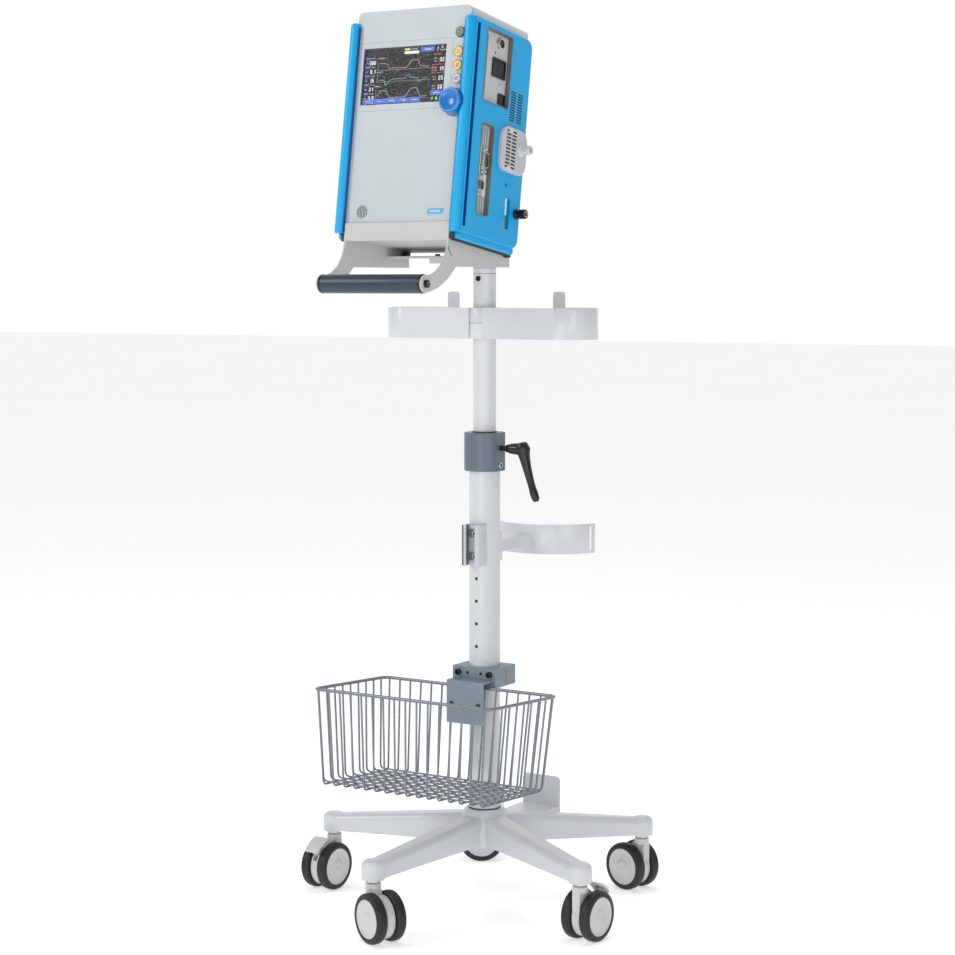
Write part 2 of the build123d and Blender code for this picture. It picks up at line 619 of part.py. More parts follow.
# ---------- hose hooks on the upper tube ----------
def hose_hook_strip():
    """Two mirrored hooks: flat strip, wide bend, and a short return that ends in a tab."""
    centre_y = HOOK_FRONT_Y + HOOK_BEND_RADIUS
    back_y = centre_y + HOOK_BEND_RADIUS
    start_x = 12.0
    end_x = HOOK_TAB_X - HOOK_TAB_WIDTH / 2
    outer_r, inner_r = HOOK_BEND_RADIUS, HOOK_BEND_RADIUS - SHEET
    front, back = HOOK_FRONT_Y, back_y
    outline = (
        Line((start_x, front), (HOOK_BEND_X, front))
        + ThreePointArc((HOOK_BEND_X, front), (HOOK_BEND_X + outer_r, centre_y), (HOOK_BEND_X, back))
        + Line((HOOK_BEND_X, back), (end_x, back))
        + Line((end_x, back), (end_x, back - SHEET))
        + Line((end_x, back - SHEET), (HOOK_BEND_X, back - SHEET))
        + ThreePointArc((HOOK_BEND_X, back - SHEET), (HOOK_BEND_X + inner_r, centre_y),
                        (HOOK_BEND_X, front + SHEET))
        + Line((HOOK_BEND_X, front + SHEET), (start_x, front + SHEET))
        + Line((start_x, front + SHEET), (start_x, front)))
    strip = extrude(Plane.XY.offset(HOOK_Z[0]) * make_face(outline), amount=HOOK_Z[1] - HOOK_Z[0])
    tab_outline = Pos(HOOK_TAB_X, (HOOK_Z[1] + HOOK_TAB_TOP_Z) / 2 - 5) * Rectangle(
        HOOK_TAB_WIDTH, HOOK_TAB_TOP_Z - HOOK_Z[1] + 10)
    tab_outline = fillet(tab_outline.vertices().group_by(Axis.Y)[-1], 4.0)
    tab = extrude(Plane(origin=(0, back, 0), x_dir=(1, 0, 0), z_dir=(0, -1, 0)) * tab_outline, amount=SHEET)
    right = strip + tab
    return right - rod_z(HOOK_CLAMP_DIA / 2, HOOK_Z[0] - 1, HOOK_Z[1] + 1)


def hook_clamp():
    body = rod_z(HOOK_CLAMP_DIA / 2, *HOOK_Z) - rod_z(UPPER_TUBE_DIA / 2, HOOK_Z[0] - 1, HOOK_Z[1] + 1)
    return body - rod_y(2.6, 10, 40, 0, sum(HOOK_Z) / 2)


right_hook = hose_hook_strip()
keep("hose_hook_strips", right_hook, mirror(right_hook, Plane.YZ))
keep("hook_clamp", hook_clamp())


# ---------- tray and grip ----------
def monitor_point(depth, height):
    """Turns a place in the monitor's side view into the stand's Y and Z."""
    turn = math.radians(LEAN)
    return (FACE_FOOT_Y + depth * math.cos(turn) + height * math.sin(turn),
            FACE_FOOT_Z - depth * math.sin(turn) + height * math.cos(turn))


def tray_side():
    """Side plate outline in Y and Z: level lower edge, leaning upper edge, curved arm to the grip."""
    flange_front = -SHEET
    top_front = monitor_point(flange_front, TRAY_FLANGE_V[1])
    under_front = monitor_point(flange_front, TRAY_FLANGE_V[0])
    rear_depth = 161.0
    top_inner = monitor_point(0.0, 0.0)
    top_flange = monitor_point(0.0, TRAY_FLANGE_V[1])
    top_rear = monitor_point(rear_depth, 0.0)
    eye = GRIP_EYE_RADIUS
    eye_top = (GRIP_Y + eye * math.cos(math.radians(75)), GRIP_Z + eye * math.sin(math.radians(75)))
    eye_low = (GRIP_Y + eye * math.cos(math.radians(-80)), GRIP_Z + eye * math.sin(math.radians(-80)))
    outline = (
        Line(top_flange, top_front)
        + Line(top_front, under_front)
        + ThreePointArc(under_front, (-260.0, 974.0), eye_top)
        + ThreePointArc(eye_top, (GRIP_Y - eye, GRIP_Z), eye_low)
        + ThreePointArc(eye_low, (-255.0, 947.5), (-222.0, TRAY_LOWER_Z))
        + Line((-222.0, TRAY_LOWER_Z), (TRAY_REAR_Y, TRAY_LOWER_Z))
        + Line((TRAY_REAR_Y, TRAY_LOWER_Z), (TRAY_REAR_Y, top_rear[1]))
        + Line((TRAY_REAR_Y, top_rear[1]), top_rear)
        + Line(top_rear, top_inner)
        + Line(top_inner, top_flange))
    return make_face(outline)


def tray():
    half = TRAY_HALF_WIDTH
    side_face = tray_side()
    side = extrude(Plane.YZ.offset(half - SHEET) * side_face, amount=SHEET)
    sides = side + mirror(side, Plane.YZ)
    floor_plate = MONITOR_FRAME * block(-half + SHEET, half - SHEET, 0, 161, -SHEET, 0)
    flange = MONITOR_FRAME * block(-half + SHEET, half - SHEET, -SHEET, 0, *TRAY_FLANGE_V)
    cross_plate = block(-half + SHEET, half - SHEET, TONGUE_FRONT_Y - 8, TRAY_REAR_Y,
                        HEAD_TOP_Z, HEAD_TOP_Z + SHEET)
    body = sides + floor_plate + flange + cross_plate
    for side_x in (-1, 1):
        x0, x1 = sorted((side_x * (half - 10), side_x * (half + 10)))
        body -= rod_x(3.2, x0, x1, GRIP_Y, GRIP_Z)
    for x, y in TONGUE_SCREWS:
        body -= rod_z(2.7, HEAD_TOP_Z - 1, HEAD_TOP_Z + SHEET + 1, x, y)
    return body


def grip_rod():
    return rod_x(6.0, -TRAY_HALF_WIDTH + SHEET, TRAY_HALF_WIDTH - SHEET, GRIP_Y, GRIP_Z) - rod_x(
        3.2, -100, -70, GRIP_Y, GRIP_Z) - rod_x(3.2, 70, 100, GRIP_Y, GRIP_Z)


def grip_sleeve():
    reach = TRAY_HALF_WIDTH - SHEET
    sleeve = rod_x(GRIP_DIA / 2, -reach, reach, GRIP_Y, GRIP_Z)
    sleeve = fillet(sleeve.edges().filter_by(GeomType.CIRCLE), 1.5)
    return sleeve - rod_x(6.0, -reach - 1, reach + 1, GRIP_Y, GRIP_Z)


keep("tray", tray())
keep("grip_rod", grip_rod())
keep("grip_sleeve", grip_sleeve())


# ---------- screws ----------
def facing_front(screw, x, y, z):
    """Head towards -Y."""
    return Pos(x, y, z) * Rot(90, 0, 0) * screw


lower_screws = [facing_front(socket_screw(7.0, 3.0, 4.4, 6.0), 0, -LOWER_TUBE_DIA / 2 - SHEET, z)
                for z in RAIL_HOLE_Z]
lower_screws += [facing_front(socket_screw(9.5, 5.0, 5.8, 45.0), side * CLAMP_SCREW_X, CLAMP_FRONT_Y,
                              CLAMP_SCREW_Z) for side in (-1, 1)]
lower_screws += [Pos(COLLAR_FLAT_X - 1.0, 0, COLLAR_SCREW_Z) * Rot(0, 90, 0)
                 * socket_screw(COLLAR_SCREW_DIA, 1.0, COLLAR_SCREW_DIA, 3.5)]
hub_bolt = Pos(0, 0, HUB_FLOOR_Z - MAST_LIFT) * Rot(180, 0, 0) * socket_screw(18.0, 8.0, HUB_BOLT_DIA, 18.0)
keep("lower_socket_screws", *lower_screws, hub_bolt)

upper_screws = [facing_front(socket_screw(8.0, 2.5, 4.8, 12.0), 0, -UPPER_TUBE_DIA / 2, HEAD_SCREW_Z)]
upper_screws += [Pos(side * TRAY_HALF_WIDTH, GRIP_Y, GRIP_Z) * Rot(0, side * 90, 0)
                 * socket_screw(11.0, 4.0, 6.2, 16.0) for side in (-1, 1)]
upper_screws += [Pos(x, y, HEAD_TOP_Z + SHEET) * socket_screw(7.5, 3.0, 3.8, 9.0) for x, y in TONGUE_SCREWS]
keep("upper_socket_screws", *upper_screws)


# ---------- monitor ----------
# In the monitor's frame: X across, Y into the case from the front face, Z up the face.
def rear_case():
    half = CASE_HALF_WIDTH
    outer = block(-half, half, PANEL_THICKNESS, CASE_DEPTH, 0, CASE_HEIGHT)
    outer = fillet(outer.edges().filter_by(Axis.Y), 8.0)
    inner = block(-half + CASE_WALL, half - CASE_WALL, PANEL_THICKNESS - 1, CASE_DEPTH - CASE_WALL,
                  CASE_WALL, CASE_HEIGHT - CASE_WALL)
    body = outer - inner
    for x in (-75.0, 45.0):
        for z in (90.0, 275.0):
            body += rod_y(3.0, BOARD_Y + BOARD_THICKNESS, CASE_DEPTH - 1.0, x, z)
    return body


def front_panel():
    half = CASE_HALF_WIDTH
    body = fillet(block(-half, half, 0, PANEL_THICKNESS, 0, CASE_HEIGHT).edges().filter_by(Axis.Y), 8.0)
    body -= block(*SCREEN_U, -1, PANEL_THICKNESS + 1, *SCREEN_V)
    for v in BUTTON_V:
        body -= rod_y(BUTTON_DIA / 2 + 0.1, -1, PANEL_THICKNESS + 1, BUTTON_U, v)
    body -= rod_y(ENCODER_SHAFT_DIA / 2 + 0.1, -1, PANEL_THICKNESS + 1, KNOB_U, KNOB_V)
    slot_pitch = 2.6
    for index in range(-2, 3):
        height = 14.0 - 2.0 * abs(index)
        body -= block(SPEAKER_UV[0] + index * slot_pitch - 0.6, SPEAKER_UV[0] + index * slot_pitch + 0.6, -1,
                      PANEL_THICKNESS + 1, SPEAKER_UV[1] - height / 2, SPEAKER_UV[1] + height / 2)
    return body


def side_cover():
    """Right-hand cover: proud rounded post, deep groove, flat side, and a lip below them."""
    half, thickness = COVER_HALF_WIDTH, COVER_HALF_WIDTH - CASE_HALF_WIDTH
    groove_y, groove_depth = (4.0, 12.0), 6.5
    plate = block(CASE_HALF_WIDTH, half, 0, CASE_DEPTH, 0, COVER_HEIGHT)
    plate = fillet(plate.edges().filter_by(Axis.X).group_by(Axis.Y)[-1], 14.0)
    plate = fillet(plate.faces().sort_by(Axis.X)[-1].edges().filter_by(Axis.Y), 3.0)
    post = block(POST_INNER_X, half - 1.0, -POST_PROUD, 0, 0, COVER_HEIGHT)
    post = fillet(post.edges().filter_by(Axis.Z).group_by(Axis.Y)[0], 6.5)
    post = fillet(post.faces().sort_by(Axis.Z)[-1].edges().sort_by(Axis.Y)[0], 6.0)
    skirt = block(POST_INNER_X, half - 4.0, 2.0, CASE_DEPTH - 6.0, -SKIRT_DROP, 0.5)
    skirt = chamfer(skirt.faces().sort_by(Axis.Z)[0].edges().sort_by(Axis.X)[-1], 3.0)
    body = plate + post + skirt
    body -= block(half - groove_depth, half + 1, *groove_y, 10.0, COVER_HEIGHT - 8.0)
    return body - block(CASE_HALF_WIDTH - 1, half - SKIN, 18, CASE_DEPTH - 4, 5, COVER_HEIGHT - 5)


def pocket(d_range, h_range, corner, depth=30.0, grow=0.0):
    """Rounded upright block that starts on the case's side wall."""
    width, height = d_range[1] - d_range[0] + 2 * grow, h_range[1] - h_range[0] + 2 * grow
    outline = Pos(sum(d_range) / 2, sum(h_range) / 2) * RectangleRounded(width, height, corner + grow)
    return extrude(Plane.YZ.offset(CASE_HALF_WIDTH) * outline, amount=depth)


def right_cover():
    body = side_cover()
    windows = ((UPPER_PANEL_D, UPPER_PANEL_H, 5.0), (LOWER_PANEL_D, LOWER_PANEL_H, 6.0))
    inner_depth = COVER_HALF_WIDTH - CASE_HALF_WIDTH - 1.0
    for window in windows:
        body += pocket(*window, depth=inner_depth, grow=2.5)
    body += pocket(WINDOW_D, WINDOW_H, 3.0, depth=inner_depth, grow=2.0)
    for depth, height in (GAS_INLET_DH, VALVE_PORT_DH):
        body += rod_x(PORT_SEAT_DIA / 2, CASE_HALF_WIDTH, CASE_HALF_WIDTH + inner_depth, depth, height)
    for window in windows:
        body -= pocket(*window)
    body -= Pos(3.0, 0, 0) * pocket(WINDOW_D, WINDOW_H, 3.0)
    rows, slot_height = 12, 1.8
    pitch = (VENT_H[1] - VENT_H[0]) / (rows - 1)
    for start in VENT_D:
        for row in range(rows):
            z = VENT_H[0] + row * pitch
            body -= block(COVER_HALF_WIDTH - 4, COVER_HALF_WIDTH + 1, start, start + 14.0,
                          z - slot_height / 2, z + slot_height / 2)
    body -= rod_y(KNOB_DIA / 2 + 1.5, -30, 0, KNOB_U, KNOB_V)
    for depth, height, radius in ((*GAS_INLET_DH, 5.0), (*VALVE_PORT_DH, 4.0)):
        body -= rod_x(radius, COVER_HALF_WIDTH - 5, COVER_HALF_WIDTH + 1, depth, height)
    return body


def knob():
    """Dished rotary knob with a short shaft bore."""
    face_gap = 1.0
    body = rod_y(KNOB_DIA / 2, -16.0, -face_gap, KNOB_U, KNOB_V)
    front_edge = body.edges().filter_by(GeomType.CIRCLE).sort_by(Axis.Y)[0]
    body = fillet(front_edge, 3.0)
    dish = Pos(KNOB_U, -16.0 - 26.0, KNOB_V) * Sphere(30.0)
    return body - dish - rod_y(ENCODER_SHAFT_DIA / 2, -9.0, 0, KNOB_U, KNOB_V)


def encoder():
    """Encoder body behind the panel; its threaded neck holds the turning shaft."""
    return block(KNOB_U - 9, KNOB_U + 9, PANEL_THICKNESS, PANEL_THICKNESS + 12, KNOB_V - 9, KNOB_V + 9) - rod_y(
        ENCODER_SHAFT_DIA / 2 + RUNNING_CLEARANCE, 0, 17.2, KNOB_U, KNOB_V)


def knob_shaft():
    return rod_y(ENCODER_SHAFT_DIA / 2, -9.0, 17.0, KNOB_U, KNOB_V)


def button(v):
    """Round cap through the panel with a retaining skirt behind it."""
    cap = rod_y(BUTTON_DIA / 2, -3.5, PANEL_THICKNESS + 0.3, BUTTON_U, v)
    cap = fillet(cap.edges().filter_by(GeomType.CIRCLE).sort_by(Axis.Y)[0], 1.2)
    skirt = rod_y(BUTTON_DIA / 2 + 1.0, PANEL_THICKNESS + 0.2, PANEL_THICKNESS + 2.0, BUTTON_U, v)
    return cap + skirt


def connector_panels():
    """Two inset plates on the case's right wall."""
    inset = CASE_HALF_WIDTH + 2.5
    upper = block(CASE_HALF_WIDTH, inset, UPPER_PANEL_D[0] + 0.2, UPPER_PANEL_D[1] - 0.2,
                  UPPER_PANEL_H[0] + 0.2, UPPER_PANEL_H[1] - 0.2)
    upper = fillet(upper.edges().filter_by(Axis.X), 4.8)
    lower = block(CASE_HALF_WIDTH, inset, LOWER_PANEL_D[0] + 0.2, LOWER_PANEL_D[1] - 0.2,
                  LOWER_PANEL_H[0] + 0.2, LOWER_PANEL_H[1] - 0.2)
    lower = fillet(lower.edges().filter_by(Axis.X), 5.8)
    for d0, d1, h0, h1 in SQUARE_SOCKETS[:2]:
        upper -= block(90, 110, d0, d1, h0, h1)
    upper -= rod_x(ROUND_SOCKET[2], 90, 110, ROUND_SOCKET[0], ROUND_SOCKET[1])
    for d0, d1, h0, h1 in SQUARE_SOCKETS[2:]:
        lower -= block(90, 110, d0, d1, h0, h1)
    return [upper, lower]




def sockets():
    """Connector shells that stand in the plates' windows, open to the right."""
    x0, x1, rim = CASE_HALF_WIDTH, CASE_HALF_WIDTH + 4.5, 1.6
    solids = []
    for d0, d1, h0, h1 in SQUARE_SOCKETS:
        shell = block(x0, x1, d0, d1, h0, h1)
        shell -= block(x0 + 1.2, x1 + 1, d0 + rim, d1 - rim, h0 + rim, h1 - rim)
        solids.append(shell)
    depth, height, radius = ROUND_SOCKET
    ring = rod_x(radius, x0, x1 + 2, depth, height) - rod_x(radius - 2, x0 + 1.2, x1 + 3, depth, height)
    solids.append(ring)
    return solids


def valve_cover():
    """Raised vented cover with two columns of slots."""
    x0, x1 = COVER_HALF_WIDTH, COVER_HALF_WIDTH + 6.5
    outline = Pos(sum(VALVE_D) / 2, sum(VALVE_H) / 2) * RectangleRounded(
        VALVE_D[1] - VALVE_D[0], VALVE_H[1] - VALVE_H[0], 18.0)
    body = extrude(Plane.YZ.offset(x0) * outline, amount=x1 - x0)
    body = fillet(body.faces().sort_by(Axis.X)[-1].edges(), 3.0)
    rows, slot_height = 11, 1.9
    height = VALVE_H[1] - VALVE_H[0] - 14.0
    pitch = height / (rows - 1)
    for start in (VALVE_D[0] + 10.0, VALVE_D[0] + 25.0):
        for row in range(rows):
            z = VALVE_H[0] + 7.0 + row * pitch
            body -= block(x1 - 4, x1 + 1, start, start + 12.0, z - slot_height / 2, z + slot_height / 2)
    return body - rod_x(4.0, x0 - 1, x1 + 1, *VALVE_PORT_DH)


def valve_port():
    """Stepped exhalation port with a through bore at its mouth."""
    depth, height = VALVE_PORT_DH
    face = COVER_HALF_WIDTH + 6.5
    body = rod_x(4.0, face - 11.5, face, depth, height) + rod_x(6.8, face, face + 5, depth, height)
    body += rod_x(5.4, face + 5, face + 8, depth, height) + rod_x(6.8, face + 8, face + 17, depth, height)
    return body - rod_x(VALVE_PORT_BORE / 2, face + 3.0, face + 18, depth, height)


def gas_inlet():
    """Knurled gas inlet with its bore open to the right."""
    depth, height = GAS_INLET_DH
    face = COVER_HALF_WIDTH
    body = rod_x(5.0, face - 5, face, depth, height) + rod_x(7.5, face, face + 4, depth, height)
    body += rod_x(5.5, face + 4, face + 8, depth, height) + rod_x(7.0, face + 8, face + 18, depth, height)
    return body - rod_x(GAS_INLET_BORE / 2, face + 2, face + 20, depth, height)


def screen_glass():
    return block(SCREEN_U[0] + 0.1, SCREEN_U[1] - 0.1, 1.0, 3.0, SCREEN_V[0] + 0.1, SCREEN_V[1] - 0.1)


def display_panel():
    return block(SCREEN_U[0] + 0.5, SCREEN_U[1] - 0.5, 3.0, PANEL_THICKNESS, SCREEN_V[0] + 0.5,
                 SCREEN_V[1] - 0.5) + block(SCREEN_U[0] - 3, SCREEN_U[1] + 3, PANEL_THICKNESS,
                                            PANEL_THICKNESS + 8, SCREEN_V[0] - 3, SCREEN_V[1] + 3)


keep_monitor("rear_case", rear_case())
keep_monitor("front_panel", front_panel())
keep_monitor("right_cover", right_cover())
keep_monitor("left_cover", mirror(side_cover(), Plane.YZ))
keep_monitor("screen_glass", screen_glass())
keep_monitor("display_panel", display_panel())
keep_monitor("knob", knob() + knob_shaft())
keep_monitor("encoder", encoder())
for name, v in zip(("button_green", "button_amber_upper", "button_amber_lower", "button_grey"), BUTTON_V):
    keep_monitor(name, button(v))
keep_monitor("connector_panels", *connector_panels())
keep_monitor("sockets", *sockets())
keep_monitor("valve_cover", valve_cover())
keep_monitor("valve_port", valve_port())
keep_monitor("gas_inlet", gas_inlet())
keep_monitor("main_board", block(-85, 55, BOARD_Y, BOARD_Y + BOARD_THICKNESS, 30, 290))
keep_monitor("battery_pack", block(-80, 20, 100, 145, CASE_WALL, 75))
keep_monitor("speaker", rod_y(14.0, PANEL_THICKNESS, PANEL_THICKNESS + 9, *SPEAKER_UV))


# ---------- output ----------
os.makedirs("parts", exist_ok=True)
for name, shape in PARTS.items():
    export_step(shape, f"parts/{name}.step")

low = [min(getattr(p.bounding_box().min, axis) for p in PARTS.values()) for axis in "XYZ"]
high = [max(getattr(p.bounding_box().max, axis) for p in PARTS.values()) for axis in "XYZ"]
print("nodes", len(PARTS))
print("box", [round(v, 1) for v in low], [round(v, 1) for v in high])
print("box centre", round((low[0] + high[0]) / 2, 2), round((low[1] + high[1]) / 2, 2))
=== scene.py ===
import json
import math

import bmesh
import bpy
from mathutils import Matrix, Vector


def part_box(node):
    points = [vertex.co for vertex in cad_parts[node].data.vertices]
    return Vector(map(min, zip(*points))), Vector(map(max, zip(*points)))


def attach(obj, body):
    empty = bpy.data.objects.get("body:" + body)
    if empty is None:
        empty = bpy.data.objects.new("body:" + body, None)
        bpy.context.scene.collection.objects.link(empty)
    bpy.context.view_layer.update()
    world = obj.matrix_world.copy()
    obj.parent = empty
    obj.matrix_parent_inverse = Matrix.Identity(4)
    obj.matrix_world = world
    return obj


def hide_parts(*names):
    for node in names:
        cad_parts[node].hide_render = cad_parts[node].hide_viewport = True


# Bedside monitor on a wheeled telescopic stand.
# Lengths written with MM are millimetres; everything else is metres in the row's frame.

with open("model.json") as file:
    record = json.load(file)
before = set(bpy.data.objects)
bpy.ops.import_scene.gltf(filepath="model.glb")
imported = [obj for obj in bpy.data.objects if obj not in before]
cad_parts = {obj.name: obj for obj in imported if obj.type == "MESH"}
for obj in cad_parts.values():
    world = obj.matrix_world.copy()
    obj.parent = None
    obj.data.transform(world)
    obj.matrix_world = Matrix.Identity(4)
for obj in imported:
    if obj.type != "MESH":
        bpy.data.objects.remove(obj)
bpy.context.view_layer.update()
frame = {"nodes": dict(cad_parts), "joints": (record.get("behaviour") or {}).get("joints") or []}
NODES = frame["nodes"]
JOINTS = {joint["name"]: joint for joint in frame["joints"]}
MM = 0.001

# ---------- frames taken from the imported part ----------
MAST = Vector(JOINTS["mast_turn"]["pos_m"])
MAST.z = 0.013                        # heights on the mast count from here

KNOB_PLACE = Vector((81.0, -8.0, 185.0)) * MM        # the knob's centre in the monitor's own frame


def monitor_frame():
    """X across the front, Y into the case, Z up the front; the origin is the front's lower middle."""
    into = Vector(JOINTS["button_green_press"]["axis"]).normalized()
    across = Vector((1.0, 0.0, 0.0))
    up = across.cross(into)
    turn = Matrix((across, into, up)).transposed()
    origin = Vector(JOINTS["knob_turn"]["pos_m"]) - turn @ KNOB_PLACE
    return Matrix.Translation(origin) @ turn.to_4x4()


MONITOR = monitor_frame()
AT_MAST = Matrix.Translation(MAST)
HEAD = "head"                         # the body that carries the monitor, the tray and the upper tube


# ---------- materials ----------
def material(name, colour, roughness=0.45, metallic=0.0, coat=0.0, mottle=0.04, mottle_size=60.0,
             grain=0.03, grain_size=0.9, uneven=0.08, scratch=0.0):
    """Procedural surface: slow colour drift, uneven gloss and a fine grain (sizes in mm)."""
    mat = bpy.data.materials.new(name)
    mat.use_nodes = True
    tree = mat.node_tree
    node, link = tree.nodes, tree.links
    shader = node["Principled BSDF"]
    shader.inputs["Metallic"].default_value = metallic
    shader.inputs["Coat Weight"].default_value = coat
    shader.inputs["Coat Roughness"].default_value = 0.12
    place = node.new("ShaderNodeTexCoord")

    def noise(size, detail=2.0):
        texture = node.new("ShaderNodeTexNoise")
        texture.inputs["Scale"].default_value = 1.0 / (size * MM)
        texture.inputs["Detail"].default_value = detail
        link.new(place.outputs["Object"], texture.inputs["Vector"])
        return texture.outputs["Fac"]

    def between(value, low, high):
        spread = node.new("ShaderNodeMapRange")
        spread.inputs["From Min"].default_value = 0.3
        spread.inputs["From Max"].default_value = 0.7
        spread.inputs["To Min"].default_value = low
        spread.inputs["To Max"].default_value = high
        link.new(value, spread.inputs["Value"])
        return spread.outputs["Result"]

    tint = node.new("ShaderNodeMix")
    tint.data_type = "RGBA"
    tint.inputs["A"].default_value = (*[max(0.0, c * (1 - mottle)) for c in colour], 1)
    tint.inputs["B"].default_value = (*[min(1.0, c * (1 + mottle)) for c in colour], 1)
    link.new(between(noise(mottle_size, 4.0), 0.0, 1.0), tint.inputs["Factor"])
    link.new(tint.outputs["Result"], shader.inputs["Base Color"])
    link.new(between(noise(mottle_size * 0.3, 5.0), roughness - uneven / 2, roughness + uneven / 2),
             shader.inputs["Roughness"])
    bump = node.new("ShaderNodeBump")
    bump.inputs["Strength"].default_value = 1.0
    bump.inputs["Distance"].default_value = grain * MM
    height = noise(grain_size, 3.0)
    if scratch:
        stretch = node.new("ShaderNodeMapping")
        stretch.inputs["Scale"].default_value = (1.0, 1.0, scratch)
        lines = node.new("ShaderNodeTexNoise")
        lines.inputs["Scale"].default_value = 1.0 / (grain_size * MM)
        link.new(place.outputs["Object"], stretch.inputs["Vector"])
        link.new(stretch.outputs["Vector"], lines.inputs["Vector"])
        height = lines.outputs["Fac"]
    link.new(height, bump.inputs["Height"])
    link.new(bump.outputs["Normal"], shader.inputs["Normal"])
    return mat


def lit(name, colour, strength):
    """A patch of the lit picture, slightly uneven like a backlight."""
    mat = material(name, [c * 0.4 for c in colour], roughness=0.35, grain=0.0)
    shader = mat.node_tree.nodes["Principled BSDF"]
    shader.inputs["Emission Color"].default_value = (*colour, 1)
    shader.inputs["Emission Strength"].default_value = strength
    return mat


WHITE_PAINT = material("white_powder_coat", (0.60, 0.62, 0.635), 0.34, coat=0.3, mottle=0.02, mottle_size=90,
                       grain=0.035, grain_size=1.1)
TRAY_PAINT = material("tray_powder_coat", (0.50, 0.505, 0.50), 0.42, mottle=0.02, mottle_size=90, grain=0.035,
                      grain_size=1.1)
CASE_PAINT = material("case_paint", (0.56, 0.585, 0.60), 0.42, mottle=0.02, mottle_size=120, grain=0.03,
                      grain_size=0.7)
FRONT_PLASTIC = material("front_plastic", (0.45, 0.50, 0.525), 0.40, mottle=0.018, mottle_size=110, grain=0.025,
                         grain_size=0.6)
BLUE = material("blue_plastic", (0.0, 0.36, 0.72), 0.38, coat=0.08, mottle=0.03, mottle_size=80, grain=0.02,
                grain_size=0.8)
BLUE.node_tree.nodes["Principled BSDF"].inputs["Specular IOR Level"].default_value = 0.3
KNOB_BLUE = material("knob_blue_plastic", (0.0, 0.17, 0.52), 0.22, coat=0.4, mottle=0.04, mottle_size=12)
# Deep blue: the cover screw's own colour, and painted shade in the cover grooves, on the posts' inner sides, in the
# window's floor and round the knob.
DEEP_BLUE = material("deep_blue_and_painted_shade", (0.0, 0.085, 0.33), 0.42, mottle=0.05, mottle_size=30)
SLATE = material("slate_powder_coat", (0.10, 0.135, 0.17), 0.40, coat=0.15, mottle=0.05, mottle_size=40,
                 grain=0.04, grain_size=1.0)
SLATE_LIGHT = material("slate_plate", (0.20, 0.25, 0.295), 0.42, mottle=0.04, mottle_size=30, grain=0.03)
BASKET_GREY = material("basket_coating", (0.19, 0.21, 0.24), 0.3, metallic=0.5, coat=0.15, mottle=0.03,
                       mottle_size=40, grain=0.0)
CASTER_PLASTIC = material("caster_plastic", (0.58, 0.57, 0.555), 0.42, mottle=0.03, mottle_size=25, grain=0.03)
DISC_PLASTIC = material("wheel_disc_plastic", (0.56, 0.57, 0.575), 0.38, coat=0.1, mottle=0.02, mottle_size=25)
RUBBER = material("tyre_rubber", (0.006, 0.0065, 0.008), 0.5, mottle=0.25, mottle_size=12, grain=0.05,
                  grain_size=0.5, uneven=0.2)
GRIP_RUBBER = material("grip_foam", (0.018, 0.032, 0.062), 0.36, mottle=0.12, mottle_size=8, grain=0.06,
                       grain_size=0.45, uneven=0.18)
BLACK = material("black_plastic", (0.005, 0.005, 0.006), 0.3, mottle=0.2, mottle_size=10, grain=0.04,
                 grain_size=0.6, uneven=0.15)
# Near-black painted shade: dark slabs stand for the shade inside slits, slots, vents, sockets, holes and gaps; the
# same colour also draws the hook clamp's seam line.
DARK_GAP = material("painted_shade_and_seam_dark", (0.018, 0.020, 0.024), 0.6, mottle=0.2, mottle_size=8)
BLACK_STEEL = material("black_oxide_steel", (0.035, 0.036, 0.04), 0.32, metallic=0.85, mottle=0.2, mottle_size=5)
STEEL = material("plated_steel", (0.62, 0.62, 0.63), 0.24, metallic=1.0, mottle=0.05, mottle_size=6,
                 grain=0.01, grain_size=0.4, scratch=0.05)
ALUMINIUM = material("satin_aluminium", (0.60, 0.62, 0.64), 0.34, metallic=0.9, mottle=0.05, mottle_size=10,
                     grain=0.012, grain_size=0.35, scratch=0.04)
PANEL_GREY = material("panel_grey", (0.50, 0.52, 0.53), 0.42, mottle=0.03, mottle_size=30, grain=0.02)
# Dark grey for grooves and joint rings; on the window walls it is partly painted shade, and on the tube-hole rims it
# is painted shade.
PANEL_EDGE = material("panel_edge", (0.16, 0.155, 0.145), 0.4, mottle=0.08, mottle_size=15)
PORT_WHITE = material("port_plastic", (0.62, 0.64, 0.66), 0.36, coat=0.2, mottle=0.03, mottle_size=10)
BRASS = material("contact_gold", (0.75, 0.55, 0.22), 0.3, metallic=1.0, mottle=0.08, mottle_size=3)
BUSH = material("bush_plastic", (0.05, 0.052, 0.056), 0.5)
BOARD = material("circuit_board", (0.01, 0.09, 0.04), 0.5, mottle=0.3, mottle_size=6)
GREEN = material("button_green", (0.01, 0.10, 0.035), 0.3, coat=0.4, mottle=0.1, mottle_size=6)
AMBER = material("button_amber", (0.78, 0.42, 0.03), 0.32, coat=0.4, mottle=0.06, mottle_size=6)
BUTTON_GREY = material("button_grey", (0.42, 0.48, 0.53), 0.32, coat=0.4, mottle=0.06, mottle_size=6)
INK = material("dark_print", (0.03, 0.032, 0.04), 0.5, mottle=0.15, mottle_size=4)
BADGE = material("badge_blue", (0.0, 0.30, 0.62), 0.3, coat=0.3, mottle=0.04, mottle_size=8)
STRIP_WHITE = material("strip_white", (0.70, 0.73, 0.73), 0.4, mottle=0.03, mottle_size=8)
STRIP_GREEN = material("strip_green", (0.16, 0.26, 0.15), 0.45, mottle=0.15, mottle_size=5)

GLASS = material("cover_glass", (0.02, 0.02, 0.025), 0.08, mottle=0.05, grain=0.0, uneven=0.02)
GLASS.node_tree.nodes["Principled BSDF"].inputs["Alpha"].default_value = 0.07

